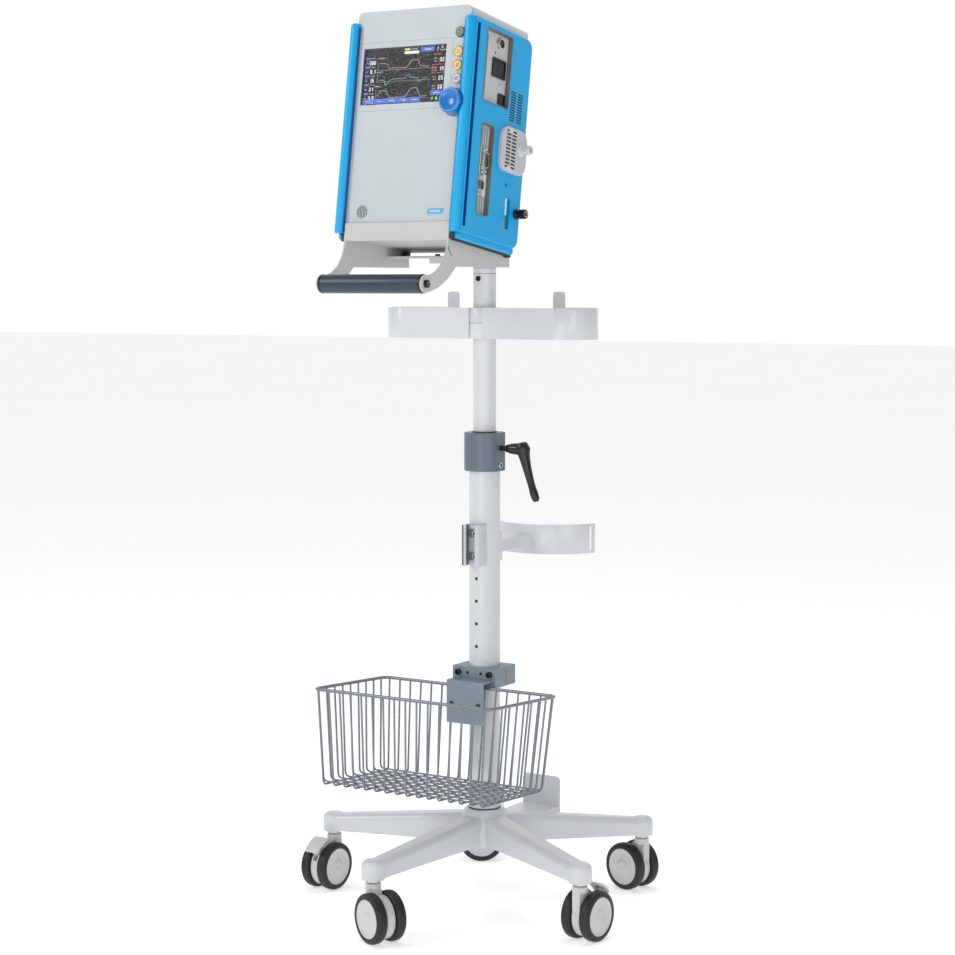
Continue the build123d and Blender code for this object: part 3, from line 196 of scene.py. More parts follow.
SCREEN_BLACK = material("screen_black", (0.002, 0.0025, 0.004), 0.3, mottle=0.3, mottle_size=30)
SCREEN_BLACK.node_tree.nodes["Principled BSDF"].inputs["Specular IOR Level"].default_value = 0.12
PICTURE = {name: lit("picture_" + name, colour, strength) for name, colour, strength in (
    ("blue", (0.02, 0.10, 0.55), 0.9), ("violet", (0.10, 0.06, 0.62), 0.9), ("white", (0.75, 0.78, 0.80), 0.8),
    ("grey", (0.28, 0.30, 0.31), 0.8), ("red", (0.55, 0.03, 0.06), 0.8), ("rose", (0.36, 0.16, 0.18), 0.8),
    ("teal", (0.12, 0.30, 0.27), 0.8), ("yellow", (0.80, 0.72, 0.22), 0.9), ("green", (0.10, 0.65, 0.05), 0.9),
    ("cyan", (0.05, 0.45, 0.80), 0.9),
)}

CAD_LOOKS = {
    WHITE_PAINT: ["star_base", "lower_tube", "upper_tube", "mast_head", "cylinder_cradle", "foot_bracket",
                  "hose_hook_strips", "hook_clamp"],
    TRAY_PAINT: ["tray"],
    STEEL: ["caster_stems", "grip_rod"],
    CASTER_PLASTIC: [f"caster_frame_{k}" for k in range(1, 6)] + ["brake_pedal_1", "brake_pedal_3"],
    DISC_PLASTIC: [f"wheel_cores_{k}" for k in range(1, 6)],
    RUBBER: [f"tyres_{k}" for k in range(1, 6)],
    BUSH: ["guide_bush"],
    SLATE: ["clamp_collar"],
    SLATE_LIGHT: ["clamp_half_front", "clamp_half_rear", "basket_hanger"],
    BASKET_GREY: ["basket_rim", "basket_wires"],
    ALUMINIUM: ["rail_bracket"],
    BLACK_STEEL: ["lower_socket_screws", "upper_socket_screws"],
    GRIP_RUBBER: ["grip_sleeve"],
    CASE_PAINT: ["rear_case"],
    FRONT_PLASTIC: ["front_panel"],
    BLUE: ["right_cover", "left_cover", "knob"],
    GLASS: ["screen_glass"],
    SCREEN_BLACK: ["display_panel"],
    GREEN: ["button_green"],
    AMBER: ["button_amber_upper", "button_amber_lower"],
    BUTTON_GREY: ["button_grey"],
    PANEL_GREY: ["connector_panels", "valve_cover"],
    PORT_WHITE: ["valve_port"],
    BLACK: ["clamp_lever", "gas_inlet", "sockets", "encoder", "battery_pack", "speaker"],
    BOARD: ["main_board"],
}
BEVEL_WIDTH = {                # mm; the rest get the small default
    "star_base": 2.0, "tray": 0.8, "rear_case": 1.0, "front_panel": 0.6, "right_cover": 1.2, "left_cover": 1.2,
    "clamp_collar": 0.6, "hose_hook_strips": 0.8, "cylinder_cradle": 0.8, "foot_bracket": 0.9,
    "clamp_half_front": 0.7, "clamp_half_rear": 0.7, "basket_hanger": 0.8, "rail_bracket": 0.5,
}
NO_BEVEL = {"basket_wires", "basket_rim", "main_board", "battery_pack", "speaker", "encoder", "guide_bush"}
SMALL_BEVEL = 0.3


def dress_cad_nodes():
    """Gives each carried-over CAD node its surface, and a fine rounded edge."""
    for mat, names in CAD_LOOKS.items():
        for name in names:
            piece = NODES[name]
            piece.data.materials.clear()
            piece.data.materials.append(mat)
            if name in NO_BEVEL:
                continue
            weld = piece.modifiers.new("weld", "WELD")
            weld.merge_threshold = 0.002 * MM
            bevel = piece.modifiers.new("edges", "BEVEL")
            bevel.width = BEVEL_WIDTH.get(name, SMALL_BEVEL) * MM
            bevel.segments = 2
            bevel.limit_method = "ANGLE"
            bevel.angle_limit = math.radians(40)
            bevel.harden_normals = True


dress_cad_nodes()


# ---------- mesh helpers ----------
def add_piece(name, mesh, mat, body, place=Matrix.Identity(4), replaces=()):
    """Links a finished mesh, puts it in place and hangs it on its body."""
    piece = bpy.data.objects.new(name, mesh)
    bpy.context.scene.collection.objects.link(piece)
    piece.matrix_world = place
    if mat is not None:
        mesh.materials.append(mat)
    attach(piece, body)
    if replaces:
        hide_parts(*replaces)
    return piece


def mesh_from(work, name, smooth_angle=35.0):
    """Turns a bmesh into a mesh with smooth shading that keeps its sharp edges."""
    bmesh.ops.recalc_face_normals(work, faces=work.faces)
    limit = math.radians(smooth_angle)
    for face in work.faces:
        face.smooth = True
    for edge in work.edges:
        if len(edge.link_faces) == 2 and edge.calc_face_angle(0.0) > limit:
            edge.smooth = False
    mesh = bpy.data.meshes.new(name)
    work.to_mesh(mesh)
    work.free()
    return mesh


def add_lathe(work, profile, place, segments=48):
    """Adds a closed body of revolution about the local Y axis; profile is (radius, y) in mm."""
    rings = []
    for radius, y in profile:
        if radius <= 0:
            rings.append([work.verts.new(place @ (Vector((0, y, 0)) * MM))])
            continue
        ring = []
        for step in range(segments):
            turn = 2 * math.pi * step / segments
            point = Vector((radius * math.cos(turn), y, radius * math.sin(turn))) * MM
            ring.append(work.verts.new(place @ point))
        rings.append(ring)
    for low, high in zip(rings, rings[1:]):
        for step in range(segments):
            after = (step + 1) % segments
            if len(low) == 1 and len(high) == 1:
                continue
            if len(low) == 1:
                work.faces.new((low[0], high[after], high[step]))
            elif len(high) == 1:
                work.faces.new((low[step], low[after], high[0]))
            else:
                work.faces.new((low[step], low[after], high[after], high[step]))
    if len(rings[0]) > 1 and len(rings[-1]) > 1:
        low, high = rings[-1], rings[0]
        for step in range(segments):
            after = (step + 1) % segments
            work.faces.new((low[step], low[after], high[after], high[step]))


def lathe(profile, name, place=Matrix.Identity(4), segments=48):
    work = bmesh.new()
    add_lathe(work, profile, place, segments)
    return mesh_from(work, name)


def turned(name, profile, place, segments, mat, body, replaces=()):
    """One turned piece about the place's Y axis."""
    add_piece(name, lathe(profile, name, place, segments), mat, body, replaces=replaces)


def head_piece(name, work, mat):
    """One piece of the monitor, from a finished bmesh."""
    add_piece(name, mesh_from(work, name), mat, HEAD)


def placed(frame_matrix, x, y, z):
    """The same frame moved by x, y and z along its own axes (mm)."""
    return frame_matrix @ Matrix.Translation((x * MM, y * MM, z * MM))


def inset(edges, by):
    """Edges (from, to, from, to) drawn in by the same distance on all four sides."""
    u0, u1, v0, v1 = edges
    return (u0 + by, u1 - by, v0 + by, v1 - by)


def rounded(points, radii, steps=4):
    """Outline through the points, each corner rounded by its own radius (mm)."""
    outline = []
    count = len(points)
    for index, (point, radius) in enumerate(zip(points, radii)):
        corner = Vector(point)
        if radius <= 0:
            outline.append(corner)
            continue
        before = (Vector(points[index - 1]) - corner).normalized()
        after = (Vector(points[(index + 1) % count]) - corner).normalized()
        half = before.angle(after) / 2
        reach = radius / math.tan(half)
        middle = corner + (before + after).normalized() * (radius / math.sin(half))
        start = corner + before * reach - middle
        sweep = math.pi - 2 * half
        side = 1 if before.x * after.y - before.y * after.x < 0 else -1
        for step in range(steps + 1):
            turn = side * sweep * step / steps
            outline.append(middle + Vector((start.x * math.cos(turn) - start.y * math.sin(turn),
                                            start.x * math.sin(turn) + start.y * math.cos(turn))))
    return outline


def rectangle(u0, u1, v0, v1, radius=0.0, steps=4):
    corners = [(u0, v0), (u1, v0), (u1, v1), (u0, v1)]
    return rounded(corners, [radius] * 4, steps)


def add_slab(work, outline, near, far, place, chamfer=0.0):
    """Adds a plate: the outline lies in local X and Z, and it is solid from near to far along Y (mm)."""
    middle = sum(outline, Vector((0, 0))) / len(outline)
    levels = [(far, 0.0), (near + chamfer, 0.0), (near, chamfer)] if chamfer else [(far, 0.0), (near, 0.0)]
    rings = []
    for y, inset in levels:
        ring = []
        for point in outline:
            offset = middle - point
            moved = point + offset.normalized() * min(inset, offset.length * 0.5)
            ring.append(work.verts.new(place @ (Vector((moved.x, y, moved.y)) * MM)))
        rings.append(ring)
    count = len(outline)
    for low, high in zip(rings, rings[1:]):
        for step in range(count):
            after = (step + 1) % count
            work.faces.new((low[step], low[after], high[after], high[step]))
    work.faces.new(rings[0])
    work.faces.new(list(reversed(rings[-1])))


def add_band(work, outer, inner, near, far, place):
    """Adds a flat ring between two outlines with the same number of points."""
    loops = []
    for outline, y in ((outer, near), (inner, near), (inner, far), (outer, far)):
        loops.append([work.verts.new(place @ (Vector((p.x, y, p.y)) * MM)) for p in outline])
    count = len(outer)
    for index in range(4):
        low, high = loops[index], loops[(index + 1) % 4]
        for step in range(count):
            after = (step + 1) % count
            work.faces.new((low[step], low[after], high[after], high[step]))


def add_stroke(work, points, width, near, far, place, closed=False):
    """Adds a flat line of even width through points in local X and Z (mm), with mitred turns."""
    points = [Vector(p) for p in points]
    count = len(points)
    left, right = [], []
    for index, point in enumerate(points):
        before = points[index - 1] if index or closed else None
        after = points[(index + 1) % count] if index + 1 < count or closed else None
        ways = []
        if before is not None:
            ways.append((point - before).normalized())
        if after is not None:
            ways.append((after - point).normalized())
        way = sum(ways, Vector((0, 0))).normalized()
        side = Vector((-way.y, way.x)) * width / 2
        if len(ways) == 2:
            side /= max(0.4, way.dot(ways[0]))
        left.append(point + side)
        right.append(point - side)
    if closed:
        add_band(work, left, right, near, far, place)
        return
    add_slab(work, left + right[::-1], near, far, place)


def arc(centre, radius, start, end, steps=16):
    """Points on an arc, from one angle to the other (degrees, from local X towards Z)."""
    points = []
    for step in range(steps + 1):
        turn = math.radians(start + (end - start) * step / steps)
        points.append((centre[0] + radius * math.cos(turn), centre[1] + radius * math.sin(turn)))
    return points


def circle(centre, radius, steps=32):
    return [Vector(p) for p in arc(centre, radius, 0, 360, steps)[:-1]]


def slab_piece(name, outlines, near, far, mat, body, slot, place=MONITOR, chamfer=0.0, replaces=()):
    """One piece made of several plates on the same face."""
    work = bmesh.new()
    for outline in outlines:
        add_slab(work, outline, near, far, place, chamfer)
    return add_piece(name, mesh_from(work, name), mat, body, replaces=replaces)


def wire(name, paths, radius, mat, body, replaces=(), sides=6):
    """Round wires along smooth paths (lists of points in metres), joined into one piece."""
    curve = bpy.data.curves.new(name, "CURVE")
    curve.dimensions = "3D"
    curve.bevel_depth = radius * MM
    curve.bevel_resolution = sides // 2
    curve.use_fill_caps = True
    for path, cyclic in paths:
        spline = curve.splines.new("POLY")
        spline.points.add(len(path) - 1)
        for place, point in zip(spline.points, path):
            place.co = (*point, 1.0)
        spline.use_cyclic_u = cyclic
        spline.use_smooth = True
    holder = bpy.data.objects.new(name + "_line", curve)
    mesh = bpy.data.meshes.new_from_object(holder)
    bpy.data.objects.remove(holder)
    for face in mesh.polygons:
        face.use_smooth = len(face.vertices) == 4
    return add_piece(name, mesh, mat, body, replaces=replaces)


COVER_X = 107.0
CASE_DEPTH = 158.0
RIGHT_SIDE = placed(MONITOR, COVER_X, 0, 0) @ Matrix(
    ((0.0, -1.0, 0.0), (1.0, 0.0, 0.0), (0.0, 0.0, 1.0))).to_4x4()
BACK_SIDE = placed(MONITOR, 0, CASE_DEPTH, 0) @ Matrix(
    ((-1.0, 0.0, 0.0), (0.0, -1.0, 0.0), (0.0, 0.0, 1.0))).to_4x4()
# On both, local Y points into the case, so what stands out has a negative Y.


# ---------- lit picture on the screen ----------
SCREEN = (-83.0, 59.5, 187.0, 270.0)      # left, right, low, high on the front face
PICTURE_Y = (2.55, 2.95)       # mm behind the front face

SEGMENTS = {                   # which of the seven bars make each digit
    "0": "abcdef", "1": "bc", "2": "abged", "3": "abgcd", "4": "fgbc", "5": "afgcd", "6": "afgedc",
    "7": "abc", "8": "abcdefg", "9": "abcdfg",
}


def digit_bars(text, u, v, height):
    """Seven-segment numbers as small rectangles, starting at the lower left corner (u, v)."""
    wide, thick = height * 0.48, height * 0.15
    bars = []
    for sign in text:
        if sign == ".":
            bars.append(rectangle(u, u + thick, v, v + thick))
            u += thick * 2.2
            continue
        middle = v + (height - thick) / 2
        places = {
            "a": (u, u + wide, v + height - thick, v + height),
            "g": (u, u + wide, middle, middle + thick),
            "d": (u, u + wide, v, v + thick),
            "f": (u, u + thick, middle, v + height),
            "e": (u, u + thick, v, middle + thick),
            "b": (u + wide - thick, u + wide, middle, v + height),
            "c": (u + wide - thick, u + wide, v, middle + thick),
        }
        bars += [rectangle(*places[bar]) for bar in SEGMENTS[sign]]
        u += wide + thick * 1.6
    return bars


def dashes(u, v, widths, height=1.3, gap=0.7):
    """A row of small blocks that stands for a caption without any letters."""
    row = []
    for width in widths:
        row.append(rectangle(u, u + width, v, v + height))
        u += width + gap
    return row


TRACES = {                     # base line below the screen's top, then (u, rise) along the curve
    "rose": (30.0, [(-55, 7.5), (-46, 7.5), (-43, 6.5), (-39, 0.5), (-33, 0), (-30, 0.4), (-8, 0), (-4, 5),
                    (0, 10.2), (6, 10.8), (11, 9.8), (14, 3), (17, 0.6), (24, 0.4), (30, 0.2)]),
    "teal": (47.0, [(-55, 0.0), (-46, 0.2), (-43, -7.4), (-39, -5.4), (-34, 0.6), (-30, 1.0), (-10, 1.0),
                    (-6, 5.6), (-3, 6.4), (0, 2.0), (12, 1.0), (14, -4.8), (18, -3.0), (24, 0.2), (30, 0.4)]),
    "grey": (73.0, [(-56, 2.0), (-51, 10.4), (-41, 10.8), (-35, 1.2), (-33, 0), (-8, 0.2), (-2, 7.0),
                    (2, 12.2), (12, 12.6), (17, 3.0), (19, 0.2), (30, 0.4)]),
}
BOLT = ((41.5, 9.0), (43.4, 5.4), (41.8, 5.4), (44.6, 2.0), (44.2, 4.8), (45.6, 4.8))   # u, below the top


def soft_keys(picture, left, low):
    """Soft keys with captions, and three small icons, along the bottom."""
    key_width, key_gap = 19.6, 0.5
    for key in range(5):
        start = left + 2.5 + key * (key_width + key_gap)
        picture["blue"].append(rectangle(start, start + key_width, low + 2.0, low + 9.0, 0.8))
        picture["white"] += dashes(start + 4.5, low + 4.9, (3.0, 2.0, 3.6), 1.4)
    picture["blue"].append(rectangle(37.0, 56.5, low + 10.5, low + 17.5, 0.8))
    picture["white"] += dashes(41.5, low + 13.3, (4.0, 2.6, 2.0), 1.4)
    picture["grey"].append(rectangle(37.5, 41.5, low + 4.2, low + 7.6))
    picture["green"].append(rectangle(45.0, 48.4, low + 3.4, low + 8.0, 0.8))
    picture["yellow"].append(rectangle(52.0, 56.2, low + 3.6, low + 7.8, 0.6))


def status_bar(picture, high):
    """Mode marks, a supply bolt and a small count along the top."""
    picture["yellow"].append(rectangle(-13.0, -4.5, high - 5.0, high - 2.6))
    picture["grey"] += dashes(-2.0, high - 4.6, (3.0, 2.2, 4.0), 1.6)
    picture["white"].append(rectangle(-13.5, 11.5, high - 10.6, high - 6.6, 0.4))
    picture["yellow"].append(rectangle(-13.5, -9.5, high - 10.6, high - 6.6, 0.4))
    picture["blue"].append(rectangle(14.5, 37.0, high - 8.8, high - 2.2, 0.6))
    picture["white"] += dashes(21.0, high - 6.3, (2.4, 4.0, 2.4), 1.4)
    picture["cyan"].append([Vector((u, high - below)) for u, below in BOLT])
    picture["white"] += digit_bars("12", 48.5, high - 5.0, 3.0)
    picture["grey"] += dashes(47.5, high - 8.4, (3.0, 2.0, 3.4), 1.6)


def left_values(picture, high):
    """Five set values down the left, each with a pill and two captions."""
    for row, value in enumerate(("380", "0.1", "16", "21", "5.0")):
        v = high - 19.0 - row * 12.9
        digits = len(value.replace(".", ""))
        picture["violet"].append(rectangle(-80.5, -71.5, v + 3.4, v + 6.4, 1.2))
        picture["grey"] += dashes(-69.5, v + 4.2, (1.6, 2.4, 1.4), 1.2)
        picture["grey"] += dashes(-79.0, v - 2.6, (3.4,), 1.2)
        picture["white"] += digit_bars(value, -73.5 + 2.6 * (3 - digits), v - 4.6, 5.6)


def traces(picture, high):
    """Three curves in their own colours, with captions and thin scale lines."""
    for colour, (below, steps) in TRACES.items():
        line = bmesh.new()
        add_stroke(line, [(u, high - below + rise) for u, rise in steps], 0.75, *PICTURE_Y, MONITOR)
        add_piece("screen_trace_" + colour, mesh_from(line, "trace"), PICTURE[colour], HEAD)
    picture["rose"] += dashes(-58.5, high - 15.5, (2.0, 4.6, 3.2), 1.5)
    picture["teal"] += dashes(-60.0, high - 36.0, (2.0, 5.0, 2.2), 1.5)
    picture["grey"] += dashes(-62.0, high - 56.5, (2.0, 4.4, 2.4), 1.5)
    for below, _ in TRACES.values():
        scale_line = high - below
        picture["grey"].append(rectangle(-58.0, 34.0, scale_line - 2.6, scale_line - 2.3))
        picture["grey"].append(rectangle(-58.3, -57.9, scale_line - 3.5, scale_line + 9.0))


def right_values(picture, high):
    """Four measured values down the right, one of them in an alarm box."""
    picture["red"] += dashes(38.0, high - 14.4, (3.2, 2.4, 4.0), 1.4)
    for row, value in enumerate(("32", "14", "25", "60")):
        v = high - 25.0 - row * 13.2
        picture["white"] += digit_bars(value, 48.0, v + 0.5, 6.0)
        picture["grey"] += dashes(38.0, v + 4.6, (2.6, 2.0), 1.3)
        picture["grey"] += dashes(38.5, v + 1.0, (1.6, 2.8), 1.1)
    box = bmesh.new()
    low, top = high - 40.6, high - 28.4
    add_stroke(box, [(36.5, low), (57.5, low), (57.5, top), (36.5, top)], 0.8, *PICTURE_Y, MONITOR, closed=True)
    add_piece("screen_alarm_box", mesh_from(box, "alarm_box"), PICTURE["red"], HEAD)


def screen_picture():
    """The lit picture: one piece for each colour, one for each trace and one for the alarm box."""
    left, _, low, high = SCREEN
    picture = {colour: [] for colour in PICTURE}
    soft_keys(picture, left, low)
    status_bar(picture, high)
    left_values(picture, high)
    traces(picture, high)
    right_values(picture, high)
    for colour, outlines in picture.items():
        if outlines:
            slab_piece("screen_marks_" + colour, outlines, *PICTURE_Y, PICTURE[colour], HEAD, "screen_black")


def screen_surround():
    """Cover glass in a thin black frame, and the hairline groove round the front overlay."""
    slab_piece("screen_cover", [rectangle(*inset(SCREEN, 0.2))], 1.0, 1.8, GLASS, HEAD, "screen_cover",
               chamfer=0.15, replaces=("screen_glass",))
    work = bmesh.new()
    outer = rectangle(*inset(SCREEN, 0.05), 1.0)
    inner = rectangle(*inset(SCREEN, 1.3), 0.6)
    add_band(work, outer, inner, 1.9, 2.9, MONITOR)
    head_piece("screen_frame", work, BLACK)
    lines = bmesh.new()
    add_stroke(lines, [(-91.0, 178.0)] + arc((67.0, 181.0), 3.0, -90, 0, 5)
               + arc((67.0, 275.0), 3.0, 0, 90, 5) + [(-91.0, 278.0)], 0.35, -0.06, 0.3, MONITOR)
    head_piece("overlay_groove", lines, PANEL_EDGE)


screen_picture()
screen_surround()


# ---------- keys, knob and badge ----------
BUTTON_U = 82.0
BUTTONS = {"button_green": 285.0, "button_amber_upper": 257.0, "button_amber_lower": 237.5, "button_grey": 218.5}
BUTTON_FACE_Y = -3.5


def shifted(outline, v):
    """Moves an outline drawn about (0, 0) to the button at height v."""
    return [Vector((BUTTON_U + p[0], v + p[1])) for p in outline]


def key_symbols(name, v):
    """Plain line symbols: power, two bells and a hold sign."""
    work = bmesh.new()
    near, far = BUTTON_FACE_Y - 0.12, BUTTON_FACE_Y + 0.05
    add_stroke(work, shifted(circle((0, 0), 6.3, 36), v), 0.45, near, far, MONITOR, closed=True)
    if name == "button_green":
        add_stroke(work, shifted(arc((0, -0.2), 3.2, 125, 415, 20), v), 0.9, near, far, MONITOR)
        add_stroke(work, shifted([(0, 0.4), (0, 4.2)], v), 0.9, near, far, MONITOR)
    elif name == "button_grey":
        add_stroke(work, shifted(arc((0, 0), 2.9, 0, 360, 20)[:-1], v), 0.7, near, far, MONITOR,
                   closed=True)
        for side in (-1, 1):
            add_stroke(work, shifted([(side * 1.0, -1.5), (side * 1.0, 1.5)], v), 0.7, near, far, MONITOR)
            add_stroke(work, shifted([(side * 3.9, 0), (side * 5.2, 0)], v), 0.6, near, far, MONITOR)
    else:
        bell = [(-2.6, -1.8), (-1.9, -0.9)] + arc((0, 0.6), 1.9, 180, 0, 10) + [(1.9, -0.9), (2.6, -1.8)]
        add_stroke(work, shifted(bell, v), 0.6, near, far, MONITOR, closed=True)
        add_slab(work, shifted(circle((0, -2.7), 0.7, 10), v), near, far, MONITOR)
        if name == "button_amber_lower":
            add_stroke(work, shifted([(-3.6, -3.4), (3.6, 3.6)], v), 0.6, near, far, MONITOR)
    add_piece(name + "_symbol", mesh_from(work, "symbol"), INK, name)


def key_rings():
    """Raised grey rings round the four buttons."""
    work = bmesh.new()
    for v in BUTTONS.values():
        add_band(work, shifted(circle((0, 0), 8.7, 40), v), shifted(circle((0, 0), 7.7, 40), v),
                 -0.35, 0.2, MONITOR)
    head_piece("button_rings", work, PANEL_GREY)


for button, height in BUTTONS.items():
    key_symbols(button, height)
key_rings()


def rotary_knob():
    """Deeply dished knob with a rounded lip and a fine waist line."""
    centre = MONITOR @ Matrix.Translation((KNOB_PLACE.x, 0, KNOB_PLACE.z))
    dish_radius, dish_centre = 30.0, -42.0
    profile = [(0, dish_centre + dish_radius)]
    for radius in (2.5, 5.0, 7.5, 10.0, 12.0, 13.6, 14.6):
        profile.append((radius, dish_centre + math.sqrt(dish_radius ** 2 - radius ** 2)))
    profile += [(15.2, -15.85), (16.0, -15.95), (16.9, -15.6), (17.6, -14.9), (17.95, -13.9), (18.0, -13.0),
                (18.0, -5.2), (17.6, -4.9), (17.6, -4.3), (18.0, -4.0), (18.0, -1.8), (17.5, -1.2), (0, -1.2)]
    add_piece("rotary_knob", lathe(profile, "rotary_knob", centre, 96), KNOB_BLUE, "knob",
              replaces=("knob",))
    # Flat deep blue ring round the knob's base: painted shade of the gap round the knob.
    ring = [(18.6, -0.3), (20.0, -0.3), (20.3, 0.1), (18.6, 0.1)]
    turned("knob_gap_shade", ring, centre, 64, DEEP_BLUE, HEAD)


def badge():
    """Slanted blue badge with plain marks in place of lettering."""
    slant = [(48.0, 26.0), (74.6, 26.0), (77.2, 34.0), (50.6, 34.0)]
    slab_piece("badge", [rounded(slant, [1.2, 1.6, 1.2, 1.6])], -0.5, 0.05, BADGE, HEAD, "blue_plastic", chamfer=0.3)
    marks = dashes(54.0, 29.0, (2.4, 1.6, 2.6, 2.0, 2.4), 2.0, 1.2)
    slab_piece("badge_marks", marks, -0.56, -0.4, STRIP_WHITE, HEAD, "front_white")


def speaker_slits():
    """Upright slits whose ends follow a circle, drawn as dark slabs on the surface: painted shade of the slits."""
    slits = []
    for step in range(7):
        u = -8.1 + step * 2.7
        reach = math.sqrt(9.6 ** 2 - u ** 2)
        slits.append(rectangle(-64.0 + u - 0.65, -64.0 + u + 0.65, 31.0 - reach, 31.0 + reach, 0.6))
    slab_piece("speaker_slits", slits, -0.06, 0.3, DARK_GAP, HEAD, "socket_black")


rotary_knob()
badge()
speaker_slits()


# ---------- right side: connectors, vents and ports ----------
UPPER_PANEL = (30.0, 102.0, 194.0, 300.0)      # depth from, depth to, height from, height to
LOWER_PANEL = (35.0, 70.0, 32.0, 164.0)
PANEL_FACE_Y = 6.4                             # how far the plates lie inside the cover
SOCKET_FACE_Y = 4.6


def panel_linings():
    """Dark grey lips that line both windows of the cover: their own grey, made darker as painted shade of the window
    walls.
    """
    work = bmesh.new()
    for panel, radius in ((UPPER_PANEL, 5.0), (LOWER_PANEL, 6.0)):
        outer = rectangle(*inset(panel, 0.1), radius - 0.1)
        inner = rectangle(*inset(panel, 1.5), radius - 1.5)
        add_band(work, outer, inner, -0.4, PANEL_FACE_Y - 0.05, RIGHT_SIDE)
    head_piece("panel_linings", work, PANEL_EDGE)


def panel_faces():
    """Raised inner plates, so that only a narrow step of each window stays deep."""
    work = bmesh.new()
    add_slab(work, rectangle(*inset(UPPER_PANEL, 3.2), 3.0), PANEL_FACE_Y - 0.4, PANEL_FACE_Y, RIGHT_SIDE)
    head_piece("upper_panel_overlay", work, PANEL_GREY)
    ribs = bmesh.new()
    for low, high in ((38.0, 59.0), (133.0, 158.0)):
        for depth in (41.0, 47.5, 54.0, 60.5):
            add_slab(ribs, rectangle(depth, depth + 2.6, low, high, 1.1), PANEL_FACE_Y - 1.6, PANEL_FACE_Y,
                     RIGHT_SIDE, chamfer=0.4)
    head_piece("lower_panel_ribs", ribs, PANEL_GREY)
    slab_piece("socket_labels", [rectangle(38.6, 48.4, 92.0, 131.0, 0.8), rectangle(57.5, 67.0, 61.0, 93.0, 0.8)],
               PANEL_FACE_Y - 0.5, PANEL_FACE_Y, STRIP_WHITE, HEAD, "panel_grey", RIGHT_SIDE)
    face = PANEL_FACE_Y - 0.4
    slab_piece("panel_prints", [rectangle(42.2, 43.4, 203.0, 292.0), circle((65.0, 270.0), 1.7, 16),
                                rounded([(80.6, 226.4), (83.6, 226.4), (82.1, 229.4)], [0.3] * 3),
                                rectangle(84.5, 85.6, 281.0, 289.0)],
               face - 0.12, face + 0.05, INK, HEAD, "black_plastic", RIGHT_SIDE)


def round_connector():
    """Panel-mount round socket: nut, shell, insert and a circle of contacts."""
    place = placed(RIGHT_SIDE, 75.0, 0, 285.0)
    shell = [(6.2, 1.8), (7.2, 1.5), (7.9, 2.0), (8.0, 3.0), (8.0, 5.6), (9.2, 5.8), (9.4, 6.6), (9.4, 7.2),
             (6.2, 7.2)]
    turned("round_socket_shell", shell, place, 48, STEEL, HEAD)
    insert = [(0, 4.6), (5.6, 4.6), (6.15, 5.0), (6.15, 7.2), (0, 7.2)]
    turned("round_socket_insert", insert, place, 48, BLACK, HEAD)
    pins = bmesh.new()
    for step in range(6):
        turn = math.radians(30 + 60 * step)
        spot = place @ Matrix.Translation((3.5 * MM * math.cos(turn), 0, 3.5 * MM * math.sin(turn)))
        add_lathe(pins, [(0, 3.2), (0.45, 3.3), (0.6, 3.7), (0.6, 4.7), (0, 4.7)], spot, 10)
    head_piece("round_socket_contacts", pins, BRASS)


def square_sockets():
    """Double data socket above, and a small flat socket below it."""
    liner = bmesh.new()
    outer = rectangle(58.2, 93.8, 235.2, 262.8, 1.5)
    inner = rectangle(60.6, 91.4, 237.6, 260.4, 0.8)
    add_band(liner, outer, inner, SOCKET_FACE_Y - 0.8, PANEL_FACE_Y, RIGHT_SIDE)
    outer = rectangle(79.4, 97.6, 198.4, 214.6, 1.2)
    inner = rectangle(81.6, 95.4, 200.6, 212.4, 0.6)
    add_band(liner, outer, inner, SOCKET_FACE_Y - 0.5, PANEL_FACE_Y, RIGHT_SIDE)
    head_piece("socket_frames", liner, BLACK)
    teeth = bmesh.new()
    for step in range(4):
        low = 239.2 + step * 5.4
        add_slab(teeth, rectangle(60.6, 65.6, low, low + 3.6, 0.4), SOCKET_FACE_Y + 0.4, 9.0, RIGHT_SIDE,
                 chamfer=0.3)
    add_slab(teeth, rectangle(74.6, 76.8, 237.8, 260.2), SOCKET_FACE_Y + 0.2, 9.0, RIGHT_SIDE, chamfer=0.2)
    add_slab(teeth, rectangle(84.0, 93.0, 204.6, 208.4, 0.5), SOCKET_FACE_Y + 0.2, 9.0, RIGHT_SIDE, chamfer=0.2)
    # Dark backs of both socket openings: painted shade inside the sockets; the tongues drawn above are the sockets'
    # own dark plastic.
    add_slab(teeth, rectangle(60.0, 92.0, 237.0, 261.0), PANEL_FACE_Y - 1.0, PANEL_FACE_Y - 0.1, RIGHT_SIDE)
    add_slab(teeth, rectangle(81.0, 96.0, 200.0, 213.0), PANEL_FACE_Y - 1.0, PANEL_FACE_Y - 0.1, RIGHT_SIDE)
    head_piece("socket_inserts_and_shade", teeth, DARK_GAP)
    contacts = bmesh.new()
    for step in range(8):
        low = 240.6 + step * 2.4
        add_slab(contacts, rectangle(80.6, 87.0, low, low + 0.7), SOCKET_FACE_Y + 2.2, 8.8, RIGHT_SIDE)
    for step in range(4):
        low = 201.6 + step * 2.6
        add_slab(contacts, rectangle(86.0, 90.0, low, low + 0.8), SOCKET_FACE_Y + 1.2, 8.8, RIGHT_SIDE)
    head_piece("socket_contacts", contacts, BRASS)


